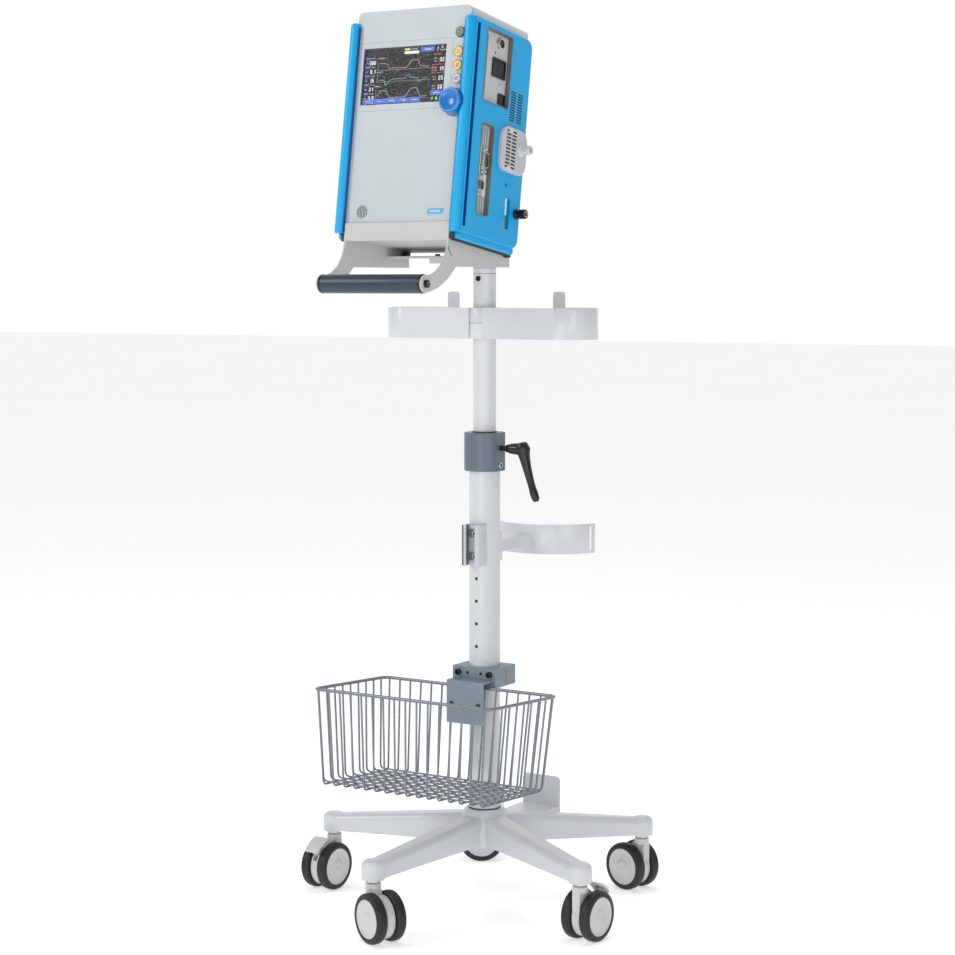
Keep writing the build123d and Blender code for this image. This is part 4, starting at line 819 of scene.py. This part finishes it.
def d_connector(name, depth, low, high):
    """Standing D-shaped connector with jack nuts and two columns of contacts."""
    half = 5.4
    shell = [(depth - half, low + 4.6), (depth + half, low + 6.0), (depth + half, high - 6.0),
             (depth - half, high - 4.6)]
    outer = rounded(shell, [2.2] * 4)
    middle = Vector((depth, (low + high) / 2))
    inner = [middle + (p - middle) * 0.86 for p in outer]
    metal = bmesh.new()
    add_band(metal, outer, inner, SOCKET_FACE_Y - 3.2, PANEL_FACE_Y, RIGHT_SIDE)
    add_slab(metal, rectangle(depth - 7.4, depth + 7.4, low - 2.5, high + 2.5, 2.0), SOCKET_FACE_Y + 0.2,
             PANEL_FACE_Y - 0.5, RIGHT_SIDE, chamfer=0.2)
    for end in (low + 0.8, high - 0.8):
        nut = [Vector(p) for p in arc((depth, end), 2.7, 0, 360, 6)[:-1]]
        add_slab(metal, nut, SOCKET_FACE_Y - 2.8, PANEL_FACE_Y, RIGHT_SIDE, chamfer=0.3)
    head_piece(name + "_shell", metal, STEEL)
    block = bmesh.new()
    add_slab(block, [middle + (p - middle) * 0.84 for p in outer], SOCKET_FACE_Y - 2.0, PANEL_FACE_Y, RIGHT_SIDE)
    head_piece(name + "_insert", block, BLACK)
    contacts = bmesh.new()
    rows = int((high - low - 14) / 2.8) + 1
    for column, rise in ((-1.6, 0.0), (1.6, 1.4)):
        for row in range(rows):
            spot = (depth + column, low + 7.6 + rise + row * 2.8)
            if spot[1] < high - 6.6:
                add_slab(contacts, circle(spot, 0.55, 8), SOCKET_FACE_Y - 2.3, SOCKET_FACE_Y, RIGHT_SIDE)
    head_piece(name + "_contacts", contacts, BRASS)


def ports_and_window():
    """White breathing port, knurled gas inlet, the slot with its strip, and a small screw."""
    port = placed(RIGHT_SIDE, 136.0, 0, 142.0)
    front = -6.5
    profile = [(9.4, front + 0.1), (9.4, front - 0.8), (8.6, front - 1.4), (6.8, front - 1.6), (6.8, front - 5.0),
               (5.5, front - 5.3), (5.4, front - 7.7), (6.0, front - 8.2), (6.75, front - 8.4),
               (6.8, front - 15.6), (6.5, front - 16.6), (5.8, front - 17.0), (4.4, front - 17.0),
               (4.0, front - 16.4), (4.0, front - 3.0), (0, front - 3.0), (0, front + 0.1)]
    turned("breathing_port", profile, port, 56, PORT_WHITE, HEAD,
              replaces=("valve_port",))
    inlet = placed(RIGHT_SIDE, 145.0, 0, 50.0)
    profile = [(7.5, 0.1), (7.5, -3.2), (6.9, -3.9), (5.6, -4.1), (5.5, -7.8), (6.3, -8.1)]
    for step in range(6):
        start = -8.3 - step * 1.45
        profile += [(7.0, start), (7.0, start - 0.9), (6.6, start - 1.1), (6.6, start - 1.4)]
    profile += [(6.8, -17.2), (6.2, -17.9), (3.4, -17.9), (2.5, -17.2), (2.5, -3.0), (0, -3.0), (0, 0.1)]
    turned("gas_port", profile, inlet, 48, BLACK, HEAD,
              replaces=("gas_inlet",))
    tip = [(2.6, -16.8), (3.3, -18.0), (4.4, -18.0), (4.4, -17.4), (2.6, -16.6)]
    turned("gas_port_ring", tip, inlet, 32, STEEL, HEAD)
    slab_piece("window_strip_white", [rectangle(114.3, 120.2, 44.0, 69.4, 1.0)], 0.9, 6.9, STRIP_WHITE, HEAD,
               "panel_grey", RIGHT_SIDE, chamfer=0.3)
    slab_piece("window_strip_green", [rectangle(114.3, 120.2, 24.6, 43.2, 1.0)], 1.4, 6.9, STRIP_GREEN, HEAD,
               "panel_grey", RIGHT_SIDE, chamfer=0.3)
    # Deep blue floor of the slot: painted shade of the recess beside the strips.
    slab_piece("window_floor_shade", [rectangle(114.2, 127.8, 24.2, 69.8, 2.8)], 6.6, 6.95, DEEP_BLUE, HEAD,
               "blue_plastic", RIGHT_SIDE)
    screw = placed(RIGHT_SIDE, 112.0, 0, 87.0)
    head_profile = [(0, -0.5), (0.9, -0.6), (1.0, -1.0), (1.9, -0.9), (2.4, -0.4), (2.4, 0.1), (0, 0.1)]
    turned("cover_screw", head_profile, screw, 24, DEEP_BLUE, HEAD)


def valve_cover_tabs():
    """Small latch tabs above and below the vented cover, and painted shade for its slots and vents: dark slabs on the
    surface.
    """
    work = bmesh.new()
    for low in (162.5, 107.0):
        add_slab(work, rectangle(100.0, 110.0, low, low + 6.0, 1.6), -7.1, -6.3, RIGHT_SIDE, chamfer=0.4)
    head_piece("valve_cover_tabs", work, PORT_WHITE)
    dark = bmesh.new()
    valve_rows, valve_low, valve_pitch = 11, 112.0, 5.2
    for start in (94.0, 109.0):
        for row in range(valve_rows):
            z = valve_low + row * valve_pitch
            add_slab(dark, rectangle(start, start + 12.0, z - 1.35, z + 1.35, 0.6), -6.56, -6.2, RIGHT_SIDE)
    vent_rows, vent_low, vent_span = 12, 182.0, 41.0
    for start in (107.0, 126.0):
        for row in range(vent_rows):
            z = vent_low + row * vent_span / (vent_rows - 1)
            add_slab(dark, rectangle(start, start + 14.0, z - 1.1, z + 1.1, 0.5), -0.05, 0.4, RIGHT_SIDE)
    head_piece("slot_shadows", dark, DARK_GAP)


panel_linings()
panel_faces()
round_connector()
square_sockets()
d_connector("long_connector", 57.0, 95.5, 129.0)
d_connector("short_connector", 50.0, 63.0, 88.0)
ports_and_window()
valve_cover_tabs()


# ---------- back and left side of the monitor ----------
def back_of_case():
    """Fan grille, vents and fan opening in painted shade, mains inlet, switch, blank plate and case screws."""
    grille = bmesh.new()
    centre = (38.0, 236.0)
    for radius in (6.0, 12.0, 18.0, 24.0, 30.0):
        add_stroke(grille, circle(centre, radius, 48), 1.4, -1.6, 0.1, BACK_SIDE, closed=True)
    for turn in range(0, 360, 45):
        way = Vector((math.cos(math.radians(turn)), math.sin(math.radians(turn))))
        ends = [Vector(centre) + way * 6.0, Vector(centre) + way * 32.5]
        add_stroke(grille, ends, 1.6, -1.2, 0.1, BACK_SIDE)
    add_stroke(grille, circle(centre, 33.0, 56), 2.4, -1.8, 0.1, BACK_SIDE, closed=True)
    head_piece("fan_grille", grille, BLACK_STEEL)
    # Dark slabs on the surface: painted shade behind the fan grille and in the vents.
    slab_piece("fan_opening_shade", [circle(centre, 32.0, 48)], -0.25, 0.1, DARK_GAP, HEAD, "socket_black", BACK_SIDE)
    vents = [rectangle(-72.0, -20.0, 212.0 + step * 6.0, 215.0 + step * 6.0, 1.4) for step in range(9)]
    slab_piece("back_vent_shade", vents, -0.3, 0.1, DARK_GAP, HEAD, "socket_black", BACK_SIDE)
    inlet = bmesh.new()
    outer = rounded([(-68, 30), (-34, 30), (-34, 46), (-39, 52), (-63, 52), (-68, 46)], [2.0] * 6)
    middle = Vector((-51.0, 41.0))
    inner = [middle + (p - middle) * 0.82 for p in outer]
    add_band(inlet, outer, inner, -2.4, 0.1, BACK_SIDE)
    add_slab(inlet, inner, -0.4, 0.1, BACK_SIDE)
    add_slab(inlet, rectangle(-68.0, -34.0, 56.0, 72.0, 1.5), -2.0, 0.1, BACK_SIDE, chamfer=0.5)
    add_slab(inlet, rectangle(-62.0, -40.0, 60.0, 68.0, 1.0), -3.2, -1.9, BACK_SIDE, chamfer=0.6)
    head_piece("mains_inlet", inlet, BLACK)
    pins = bmesh.new()
    for u, v in ((-58.0, 38.5), (-44.0, 38.5), (-51.0, 44.5)):
        add_slab(pins, rectangle(u - 1.0, u + 1.0, v - 2.4, v + 2.4, 0.5), -2.2, 0.0, BACK_SIDE, chamfer=0.3)
    head_piece("mains_pins", pins, STEEL)
    plate = bmesh.new()
    add_slab(plate, rectangle(-10.0, 62.0, 44.0, 84.0, 2.0), -0.5, 0.1, BACK_SIDE, chamfer=0.2)
    head_piece("blank_plate", plate, ALUMINIUM)
    screws = bmesh.new()
    for u in (-84.0, 84.0):
        for v in (14.0, 162.0, 310.0):
            spot = placed(BACK_SIDE, u, 0, v)
            add_lathe(screws, [(0, -0.4), (1.5, -0.4), (1.7, -1.6), (2.6, -1.5), (3.2, -0.8), (3.2, 0.1), (0, 0.1)],
                      spot, 24)
    spot = placed(BACK_SIDE, -24.0, 0, 41.0)
    add_lathe(screws, [(0, -9.0), (2.4, -9.0), (2.9, -8.4), (2.9, -3.0), (5.6, -2.8), (5.6, 0.1), (0, 0.1)], spot, 24)
    head_piece("case_screws", screws, STEEL)


def left_side_vents():
    """Two columns of vents in the left cover, drawn as dark slabs on the surface: painted shade of the slots."""
    left = placed(MONITOR, -COVER_X, 0, 0) @ Matrix(
        ((0.0, 1.0, 0.0), (-1.0, 0.0, 0.0), (0.0, 0.0, 1.0))).to_4x4()
    slots = []
    for column in (-124.0, -106.0):
        for row in range(12):
            low = 60.0 + row * 4.2
            slots.append(rectangle(column, column + 14.0, low, low + 1.9, 0.8))
    slab_piece("left_vent_shade", slots, -0.12, 0.2, DARK_GAP, HEAD, "socket_black", left)


back_of_case()
left_side_vents()


# ---------- stand: rings, seams and lever (heights in mm above MAST) ----------
SIDES = ((1, "right"), (-1, "left"))
LOWER_RADIUS, UPPER_RADIUS = 24.0, 17.5
HUB_SEAL_Z = 137.8
HANGER_SCREW_Z, HANGER_SCREW_X = 307.0, 24.0
CLAMP_HOLE_Z, CLAMP_HOLE_X = 351.5, 12.0
TUBE_HOLES = [(392.0 + 35.0 * step, 4.5) for step in range(4)]      # height and diameter
RAIL_LOW, RAIL_HIGH = 518.4, 580.6
RAIL_SCREWS_Z = (532.0, 567.0)
COLLAR_SCREW_Z = 671.0
LEVER_Z = 697.0
WIPER_Z = 721.6
HOOK_LOW_Z, HOOK_SEAM_Z = 864.2, 888.0
GRIP_PLACE = (87.0, -300.0, 947.0)
MAST_SCREW_Z, MAST_GROOVE_Z, MAST_TOP_Z = 955.0, 962.5, 971.0


def ring_piece(name, radius, height, width, mat, body, z, depth=0.25):
    """Thin band round the mast, from depth inside the radius to width outside it."""
    turn = Matrix.Rotation(math.radians(90), 4, "X")
    place = placed(AT_MAST, 0, 0, z) @ turn
    profile = [(radius - depth, -height / 2), (radius + width, -height / 2), (radius + width, height / 2),
               (radius - depth, height / 2)]
    add_piece(name, lathe(profile, name, place, 64), mat, body)


def around_mast(radius, angle, z):
    turn = math.radians(angle)
    return MAST + Vector((radius * math.cos(turn), radius * math.sin(turn), z)) * MM


def stand_details():
    """Dark rings where tubes end, and the seam of the hook clamp."""
    ring_piece("mast_head_gap", UPPER_RADIUS, 0.9, 0.12, PANEL_EDGE, HEAD, MAST_TOP_Z)
    ring_piece("hub_seal", LOWER_RADIUS, 1.6, 1.1, BLACK, "base", HUB_SEAL_Z)
    ring_piece("collar_wiper", UPPER_RADIUS, 1.6, 2.2, BLACK, "base", WIPER_Z, depth=-0.35)
    clamp_radius = 27.0
    seam = [around_mast(clamp_radius, angle, HOOK_SEAM_Z) for angle in range(-147, -40, 4)]
    drop = [around_mast(clamp_radius, -41, z) for z in (HOOK_SEAM_Z, 880.0, 872.0, HOOK_LOW_Z)]
    wire("hook_clamp_seam", [(seam, False), (drop, False)], 0.3, DARK_GAP, HEAD)


def loft(sections, name, steps=20):
    """Closed skin through rounded sections: each is (centre, side vector, front vector)."""
    work = bmesh.new()
    rings = []
    for centre, side, front in sections:
        ring = []
        for step in range(steps):
            turn = 2 * math.pi * step / steps
            c, s = math.cos(turn), math.sin(turn)
            fat = (abs(c) ** 2.6 + abs(s) ** 2.6) ** (-1 / 2.6)
            ring.append(work.verts.new(centre + (side * c + front * s) * fat))
        rings.append(ring)
    for low, high in zip(rings, rings[1:]):
        for step in range(steps):
            after = (step + 1) % steps
            work.faces.new((low[step], low[after], high[after], high[step]))
    work.faces.new(list(reversed(rings[0])))
    work.faces.new(rings[-1])
    return mesh_from(work, name, 50)


def clamp_lever():
    """Adjustable lever: stud, ribbed cone, knuckle with its press button, and a tapering handle."""
    hub = MAST + Vector((68.5, 0, LEVER_Z)) * MM
    along = placed(AT_MAST, 0, 0, LEVER_Z) @ Matrix.Rotation(math.radians(-90), 4, "Z")
    stud = [(0, 18.0), (3.9, 18.0), (3.9, 49.5), (0, 49.5)]
    add_piece("lever_stud", lathe(stud, "lever_stud", along, 32), BLACK_STEEL, "lever")
    cone = [(0, 39.2), (5.2, 39.2), (5.9, 39.9), (6.2, 42.0), (7.0, 46.0), (7.4, 46.4), (7.4, 47.0), (7.9, 47.4),
            (8.9, 56.0), (9.0, 60.0), (8.6, 64.0), (7.5, 68.5), (0, 68.5)]
    slope = math.radians(17.0)
    down = Vector((math.sin(slope), 0, -math.cos(slope)))
    side, front = Vector((0, 1, 0)), Vector((math.cos(slope), 0, math.sin(slope)))
    stations = ((-10.6, 5.0, 5.0), (-9.8, 7.6, 7.4), (-7.0, 9.4, 9.0), (-2.0, 10.3, 9.9), (4.0, 9.9, 9.6),
                (9.0, 8.9, 8.5), (16.0, 7.9, 7.2), (30.0, 7.0, 6.2), (46.0, 6.1, 5.4), (60.0, 5.6, 5.0),
                (64.0, 6.2, 5.7), (68.0, 6.6, 6.1), (76.0, 6.3, 5.8), (80.5, 5.2, 4.8), (82.6, 3.2, 3.0))
    sections = []
    for reach, wide, deep in stations:
        bow = 1.6 * math.sin(math.pi * min(1.0, max(0.0, reach / 80.0)))
        centre = hub + (down * reach - front * bow) * MM
        sections.append((centre, side * wide * MM, front * deep * MM))
    handle = add_piece("clamp_handle", loft(sections, "clamp_handle"), BLACK, "lever",
                       replaces=("clamp_lever",))
    add_piece("lever_cone", lathe(cone, "lever_cone", along, 40), BLACK, "lever")
    smooth = handle.modifiers.new("smooth", "SUBSURF")
    smooth.levels = 1
    smooth.render_levels = 1
    button = [(0, 79.6), (2.6, 79.5), (4.4, 78.8), (4.9, 77.6), (4.9, 74.0), (0, 74.0)]
    add_piece("lever_button", lathe(button, "lever_button", along, 28), BLACK_STEEL, "lever")


def drilled_tube(name, outer, wall, low, high, holes, body, node):
    """Round closed tube, fine enough to shade evenly; each hole is painted shade: a near-black disc in a dark grey
    rim.
    """
    turn = Matrix.Rotation(math.radians(90), 4, "X")
    place = AT_MAST @ turn
    rows = sorted({low, high} | {z + side * 6.0 for z, _ in holes for side in (-1, 1)})
    radius, bore = outer / 2, outer / 2 - wall
    profile = [(bore, low), (radius - 0.5, low)] + [(radius, z) for z in [low + 0.5] + rows[1:-1] + [high - 0.5]]
    profile += [(radius - 0.5, high), (bore, high), (bore, low)]
    turned(name, profile, place, 128, WHITE_PAINT, body, replaces=(node,))
    for index, (z, diameter) in enumerate(holes):
        rim = placed(AT_MAST, 0, -radius, z)
        shape = [(diameter / 2, -0.15), (diameter / 2 + 0.5, -0.12), (diameter / 2 + 0.5, 0.3),
                 (diameter / 2, 0.3)]
        turned(f"{name}_hole_rim_{index}", shape, rim, 24, PANEL_EDGE, body)
        hole_shade_disc = [(0, -0.05), (diameter / 2, -0.05), (diameter / 2, 0.6), (0, 0.6)]
        turned(f"{name}_hole_{index}", hole_shade_disc, rim, 24, DARK_GAP, body)


def screw_ring(name, place, radius, body):
    """Plated washer face round a dark socket."""
    profile = [(radius * 0.62, -0.5), (radius * 0.9, -0.6), (radius, -0.2), (radius, 0.4), (radius * 0.62, 0.4)]
    turned(name, profile, place, 32, STEEL, body)


def stand_screws():
    """Socket screws of the collar, rail bracket, basket hanger and mast head, and the rail's liners."""
    collar = MAST + Vector((29.0, 0, COLLAR_SCREW_Z)) * MM
    facing_right = Matrix.Translation(collar) @ Matrix.Rotation(math.radians(90), 4, "Z")
    screw_ring("collar_screw_ring", facing_right, 4.4, "base")
    for number, z in enumerate(RAIL_SCREWS_Z):
        place = placed(AT_MAST, 0, -30.0, z)
        screw_ring(f"rail_screw_ring_{number}", place, 3.9, "base")
    for number, x in enumerate((-HANGER_SCREW_X, HANGER_SCREW_X)):
        place = placed(AT_MAST, x, -60.0, HANGER_SCREW_Z)
        profile = [(0, 0.4), (1.2, 0.4), (1.4, -0.5), (2.6, -0.6), (3.1, 0.2), (3.1, 2.4), (0, 2.4)]
        add_piece(f"hanger_screw_{number}", lathe(profile, "hanger_screw", place, 24), BLACK_STEEL, "base")
    # Dark discs on the clamp's front: painted shade of its two middle holes.
    for number, x in enumerate((-CLAMP_HOLE_X, CLAMP_HOLE_X)):
        place = placed(AT_MAST, x, -31.0, CLAMP_HOLE_Z)
        hole_shade_disc = [(0, -0.12), (2.6, -0.12), (2.8, 0.2), (0, 0.2)]
        add_piece(f"clamp_hole_shade_{number}", lathe(hole_shade_disc, "clamp_hole_shade", place, 20), BLACK_STEEL, "base")
    place = placed(AT_MAST, 0, -UPPER_RADIUS, MAST_SCREW_Z)
    screw_ring("mast_screw_ring", place, 4.7, HEAD)
    ring_piece("mast_groove", UPPER_RADIUS, 0.8, 0.08, PANEL_EDGE, HEAD, MAST_GROOVE_Z)
    rail_inner = bmesh.new()
    add_slab(rail_inner, rectangle(-14.9, -11.95, RAIL_LOW, RAIL_HIGH), -42.1, -41.0, AT_MAST)
    add_slab(rail_inner, rectangle(-12.05, -11.8, RAIL_LOW, RAIL_HIGH), -39.4, -27.2, AT_MAST)
    add_piece("rail_liner", mesh_from(rail_inner, "rail_liner"), SLATE, "base")
    slab_piece("rail_floor", [rectangle(-11.7, 11.7, 518.6, 525.6), rectangle(-11.7, 11.7, 538.4, 560.6),
                              rectangle(-11.7, 11.7, 573.4, 580.4)], -27.4, -26.9, WHITE_PAINT, "base",
               "bracket_metal", AT_MAST)


def grip_ends():
    """Black end rings of the sleeve and plated socket screws in the tray's eyes."""
    for side, label in SIDES:
        place = placed(AT_MAST, side * GRIP_PLACE[0], GRIP_PLACE[1], GRIP_PLACE[2]) @ Matrix.Rotation(
            math.radians(90 * side), 4, "Z")
        ring = [(6.2, 0.2), (13.0, 0.2), (13.62, 0.7), (13.62, 4.4), (13.3, 4.9), (12.9, 5.0), (6.2, 5.0)]
        turned(f"grip_ring_{label}", ring, place, 56, BLACK, HEAD)
        screw = [(0, -4.2), (1.9, -4.2), (2.2, -6.6), (3.4, -6.95), (4.9, -6.7), (5.4, -6.1), (5.4, -3.2),
                 (6.3, -3.2), (6.3, -2.95), (0, -2.95)]
        turned(f"grip_screw_{label}", screw, place, 40, STEEL, HEAD)
        # Dark hexagon in each screw head: painted shade of its socket.
        socket = [(0, -4.6), (2.1, -4.6), (2.1, -4.0), (0, -4.0)]
        turned(f"grip_socket_shade_{label}", socket, place, 6, DARK_GAP, HEAD)


def side_strip(side, near_x, far_x, low, high, radius=0.0):
    """A rectangle between two distances from the middle, on the right (1) or left (-1) side."""
    return rectangle(*sorted((side * near_x, side * far_x)), low, high, radius)


def cover_shadows():
    """Painted shade: deep blue lining of the long grooves and the posts' inner sides, and dark bands for the shaded
    gaps under the covers and at the posts' lower corners.
    """
    for side, label in SIDES:
        work = bmesh.new()
        # Deep blue painted shade: the groove's side and floor, then the post's inner side.
        add_slab(work, side_strip(side, 100.7, 101.1, 10.6, 299.4), 4.1, 11.9, MONITOR)
        add_slab(work, side_strip(side, 101.1, 106.4, 10.6, 299.4), 11.6, 11.95, MONITOR)
        add_slab(work, side_strip(side, 91.5, 91.3, 2.0, 301.0), -6.0, -0.05, MONITOR)
        head_piece(f"cover_groove_shade_{label}", work, DEEP_BLUE)
        # Dark painted shade of the gap under the cover and of the post's lower front corner.
        gap_shade = bmesh.new()
        add_slab(gap_shade, side_strip(side, 90.3, 99.4, -10.6, -9.05), 3.0, 151.0, MONITOR)
        add_slab(gap_shade, side_strip(side, 87.2, 96.5, -9.0, 12.0), -1.4, 1.6, MONITOR, chamfer=0.5)
        head_piece(f"cover_gap_shade_{label}", gap_shade, DARK_GAP)


def case_bumper():
    """Two rubber feet under the back of the case."""
    work = bmesh.new()
    for side in (1, -1):
        add_slab(work, side_strip(side, 80.0, 97.0, -12.0, 0.0, 2.0), 146.0, 157.0, MONITOR, chamfer=1.0)
    head_piece("rear_feet", work, RUBBER)


drilled_tube("mast_lower_tube", 2 * LOWER_RADIUS, 2.0, 88.0, 686.0, TUBE_HOLES, "base", "lower_tube")
drilled_tube("mast_upper_tube", 2 * UPPER_RADIUS, 2.0, 400.0, MAST_TOP_Z, [], HEAD, "upper_tube")
stand_screws()
grip_ends()
cover_shadows()
case_bumper()
stand_details()
clamp_lever()


# ---------- wire basket ----------
def basket():
    """Bent wires hung from a round rim; each wall wire turns in at the bottom and meets a floor wire."""
    rim_radius, wire_radius = 2.5, 1.5
    low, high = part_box("basket_rim")
    margin = rim_radius * MM
    half = (high.x - low.x) / 2 - margin
    drop = high.z - low.z - 2 * margin
    width = math.hypot(high.y - low.y - 2 * margin, drop)
    tilt = -math.atan2(drop, high.y - low.y - 2 * margin)
    place = Matrix.Translation(((low.x + high.x) / 2, high.y - margin, low.z + margin)) @ Matrix.Rotation(
        tilt, 4, "X")
    depth, taper, bend, toe, corner = 143.0 * MM, 9.0 * MM, 8.0 * MM, 11.0 * MM, 12.0 * MM
    first_wire = 8.0 * MM                  # from the corner
    shrink = (half - taper) / half

    def bent(points, radius):
        """Rounds the inner corners of a path."""
        path = [Vector(points[0])]
        for before, at, after in zip(points, points[1:], points[2:]):
            at = Vector(at)
            back = (Vector(before) - at).normalized()
            on = (Vector(after) - at).normalized()
            half_turn = back.angle(on) / 2
            reach = radius / math.tan(half_turn)
            for step in range(7):
                t = step / 6
                path.append(at + back * reach * (1 - t) ** 2 + on * reach * t ** 2)
        path.append(Vector(points[-1]))
        return [place @ p for p in path]

    rim = []
    for x, y, start in ((half - corner, -corner, 0), (-half + corner, -corner, 90),
                        (-half + corner, -width + corner, 180), (half - corner, -width + corner, 270)):
        for step in range(9):
            turn = math.radians(start + 90 * step / 8)
            rim.append(place @ Vector((x + corner * math.cos(turn), y + corner * math.sin(turn), 0)))
    wire("basket_top_wire", [(rim, True)], rim_radius, BASKET_GREY, "base",
         replaces=("basket_rim",), sides=10)
    walls, floor = [], []
    top = -(rim_radius - 1.6) * MM
    long_count, short_count = 16, 9
    for index in range(long_count):
        x = -half + first_wire + index * 2 * (half - first_wire) / (long_count - 1)
        foot_x = x * shrink
        for wall_y, inward in ((0.0, -1), (-width, 1)):
            foot_y = wall_y + inward * taper
            walls.append((bent([(x, wall_y, top), (foot_x, foot_y, -depth), (foot_x, foot_y + inward * toe, -depth)],
                               bend), False))
        floor.append(([place @ Vector((foot_x, -taper - toe, -depth)),
                       place @ Vector((foot_x, -width + taper + toe, -depth))], False))
    layer = (2 * wire_radius + 0.05) * MM
    for index in range(short_count):
        spread = width / 2 - 12.0 * MM
        y = -spread + index * 2 * spread / (short_count - 1)
        foot_y = -width / 2 + y * (1 - taper / (width / 2))
        for side in (-1, 1):
            foot_x = side * (half - taper)
            walls.append((bent([(side * half, -width / 2 + y, top), (foot_x, foot_y, -depth + layer),
                                (foot_x - side * toe, foot_y, -depth + layer)], bend), False))
        floor.append(([place @ Vector((-half + taper + toe, foot_y, -depth + layer)),
                       place @ Vector((half - taper - toe, foot_y, -depth + layer))], False))
    wire("basket_wall_wires", walls, wire_radius, BASKET_GREY, "base",
         replaces=("basket_wires",), sides=8)
    wire("basket_floor_wires", floor, wire_radius, BASKET_GREY, "base", sides=8)


basket()


# ---------- twin-wheel casters ----------
TYRE = [(28.6, 8.3), (29.6, 7.7), (31.4, 7.6), (32.0, 8.0), (33.2, 8.0), (35.2, 8.6), (36.6, 9.9), (37.3, 11.8),
        (37.5, 13.6), (37.5, 18.4), (37.3, 20.2), (36.6, 22.1), (35.2, 23.4), (33.2, 24.0), (32.0, 24.0),
        (31.4, 24.4), (29.6, 24.3), (28.6, 23.7)]
DISC = [(0, 23.4), (5.0, 23.4), (5.6, 23.7), (9.6, 23.7), (10.0, 23.3), (14.0, 23.1), (22.0, 23.2), (25.6, 23.5),
        (26.2, 24.0), (27.6, 24.1), (28.6, 23.6), (28.6, 8.4), (25.0, 8.0), (0, 8.0)]


def wheels(number):
    """Both wheels of one caster, about the axis of its joint."""
    joint = JOINTS[f"wheel_spin_{number}"]
    axle = Vector(joint["axis"]).normalized()
    up = Vector((0, 0, 1))
    turn = Matrix((axle.cross(up), axle, up)).transposed().to_4x4()
    centre = Matrix.Translation(joint["pos_m"]) @ turn
    body = f"wheels_{number}"
    other = centre @ Matrix.Rotation(math.pi, 4, "Z")
    for profile, name, mat, slot, node in ((TYRE, "tyre_pair", RUBBER, "tyre_rubber", "tyres"),
                                           (DISC, "disc_pair", DISC_PLASTIC, "caster_plastic", "wheel_cores")):
        work = bmesh.new()
        add_lathe(work, profile, centre, 72)
        add_lathe(work, profile, other, 72)
        add_piece(f"{name}_{number}", mesh_from(work, name, 50), mat, body, replaces=(f"{node}_{number}",))


for caster in range(1, 6):
    wheels(caster)


# ---------- stage ----------
def studio_world():
    """Soft studio surroundings: bright beyond the object, dimmer behind the viewer."""
    world = bpy.data.worlds.new("studio")
    world.use_nodes = True
    node, link = world.node_tree.nodes, world.node_tree.links
    sky = node["Background"]
    sky.inputs["Color"].default_value = (1.0, 1.0, 1.0, 1)
    place = node.new("ShaderNodeTexCoord")
    ahead = node.new("ShaderNodeVectorMath")
    ahead.operation = "DOT_PRODUCT"
    ahead.inputs[1].default_value = (-0.53, 0.848, 0.0)
    spread = node.new("ShaderNodeMapRange")
    spread.inputs["From Min"].default_value = 0.25
    spread.inputs["From Max"].default_value = 0.9
    spread.inputs["To Min"].default_value = 0.42
    spread.inputs["To Max"].default_value = 1.02
    link.new(place.outputs["Generated"], ahead.inputs[0])
    link.new(ahead.outputs["Value"], spread.inputs["Value"])
    link.new(spread.outputs["Result"], sky.inputs["Strength"])
    bpy.context.scene.world = world


def floor_sheet():
    """Very wide pale floor."""
    work = bmesh.new()
    add_slab(work, rectangle(-30000, 30000, -30000, 30000), 0.0, 20.0,
             Matrix.Rotation(math.radians(-90), 4, "X"))
    mesh = mesh_from(work, "floor")
    floor = bpy.data.objects.new("floor", mesh)
    bpy.context.scene.collection.objects.link(floor)
    pale = material("pale_floor", (0.80, 0.80, 0.80), 0.8, mottle=0.008, mottle_size=900, grain=0.0)
    shader = pale.node_tree.nodes["Principled BSDF"]
    shader.inputs["Specular IOR Level"].default_value = 0.0
    shader.inputs["Emission Color"].default_value = (1.0, 1.0, 1.0, 1)
    shader.inputs["Emission Strength"].default_value = 0.5
    mesh.materials.append(pale)


def soft_lights():
    """Four soft discs that all look at the middle of the stand (places in metres, power in watts)."""
    aim = MAST + Vector((0, 0, 0.75))
    for name, place, size, power in (
            ("key", (-2.2, -2.6, 2.6), 1.6, 42.0), ("fill", (2.9, -2.2, 1.2), 1.8, 20.0),
            ("low_front", (0.4, -2.6, 0.45), 1.6, 12.0), ("top", (0.2, 0.3, 3.6), 1.8, 22.0)):
        lamp = bpy.data.lights.new(name, "AREA")
        lamp.shape = "DISK"
        lamp.size = size
        lamp.energy = power
        holder = bpy.data.objects.new(name, lamp)
        holder.location = place
        holder.rotation_euler = (aim - Vector(place)).to_track_quat("-Z", "Y").to_euler()
        bpy.context.scene.collection.objects.link(holder)


def camera():
    """Stands to the right of the front, a little above the middle, looking slightly down."""
    azimuth, down = math.radians(32.0), math.radians(5.03)
    distance, sideways, height = 3.365, 0.011, 0.947
    right = Vector((math.cos(azimuth), math.sin(azimuth), 0))
    back = Vector((math.sin(azimuth), -math.cos(azimuth), 0))
    lens = bpy.data.cameras.new("camera")
    lens.sensor_width = 36.0
    lens.lens = 82.93
    holder = bpy.data.objects.new("camera", lens)
    holder.location = MAST + back * distance - right * sideways + Vector((0, 0, height))
    holder.rotation_euler = (math.pi / 2 - down, 0, azimuth)
    bpy.context.scene.collection.objects.link(holder)
    bpy.context.scene.camera = holder


studio_world()
floor_sheet()
soft_lights()
camera()
bpy.context.scene.view_settings.view_transform = "Standard"
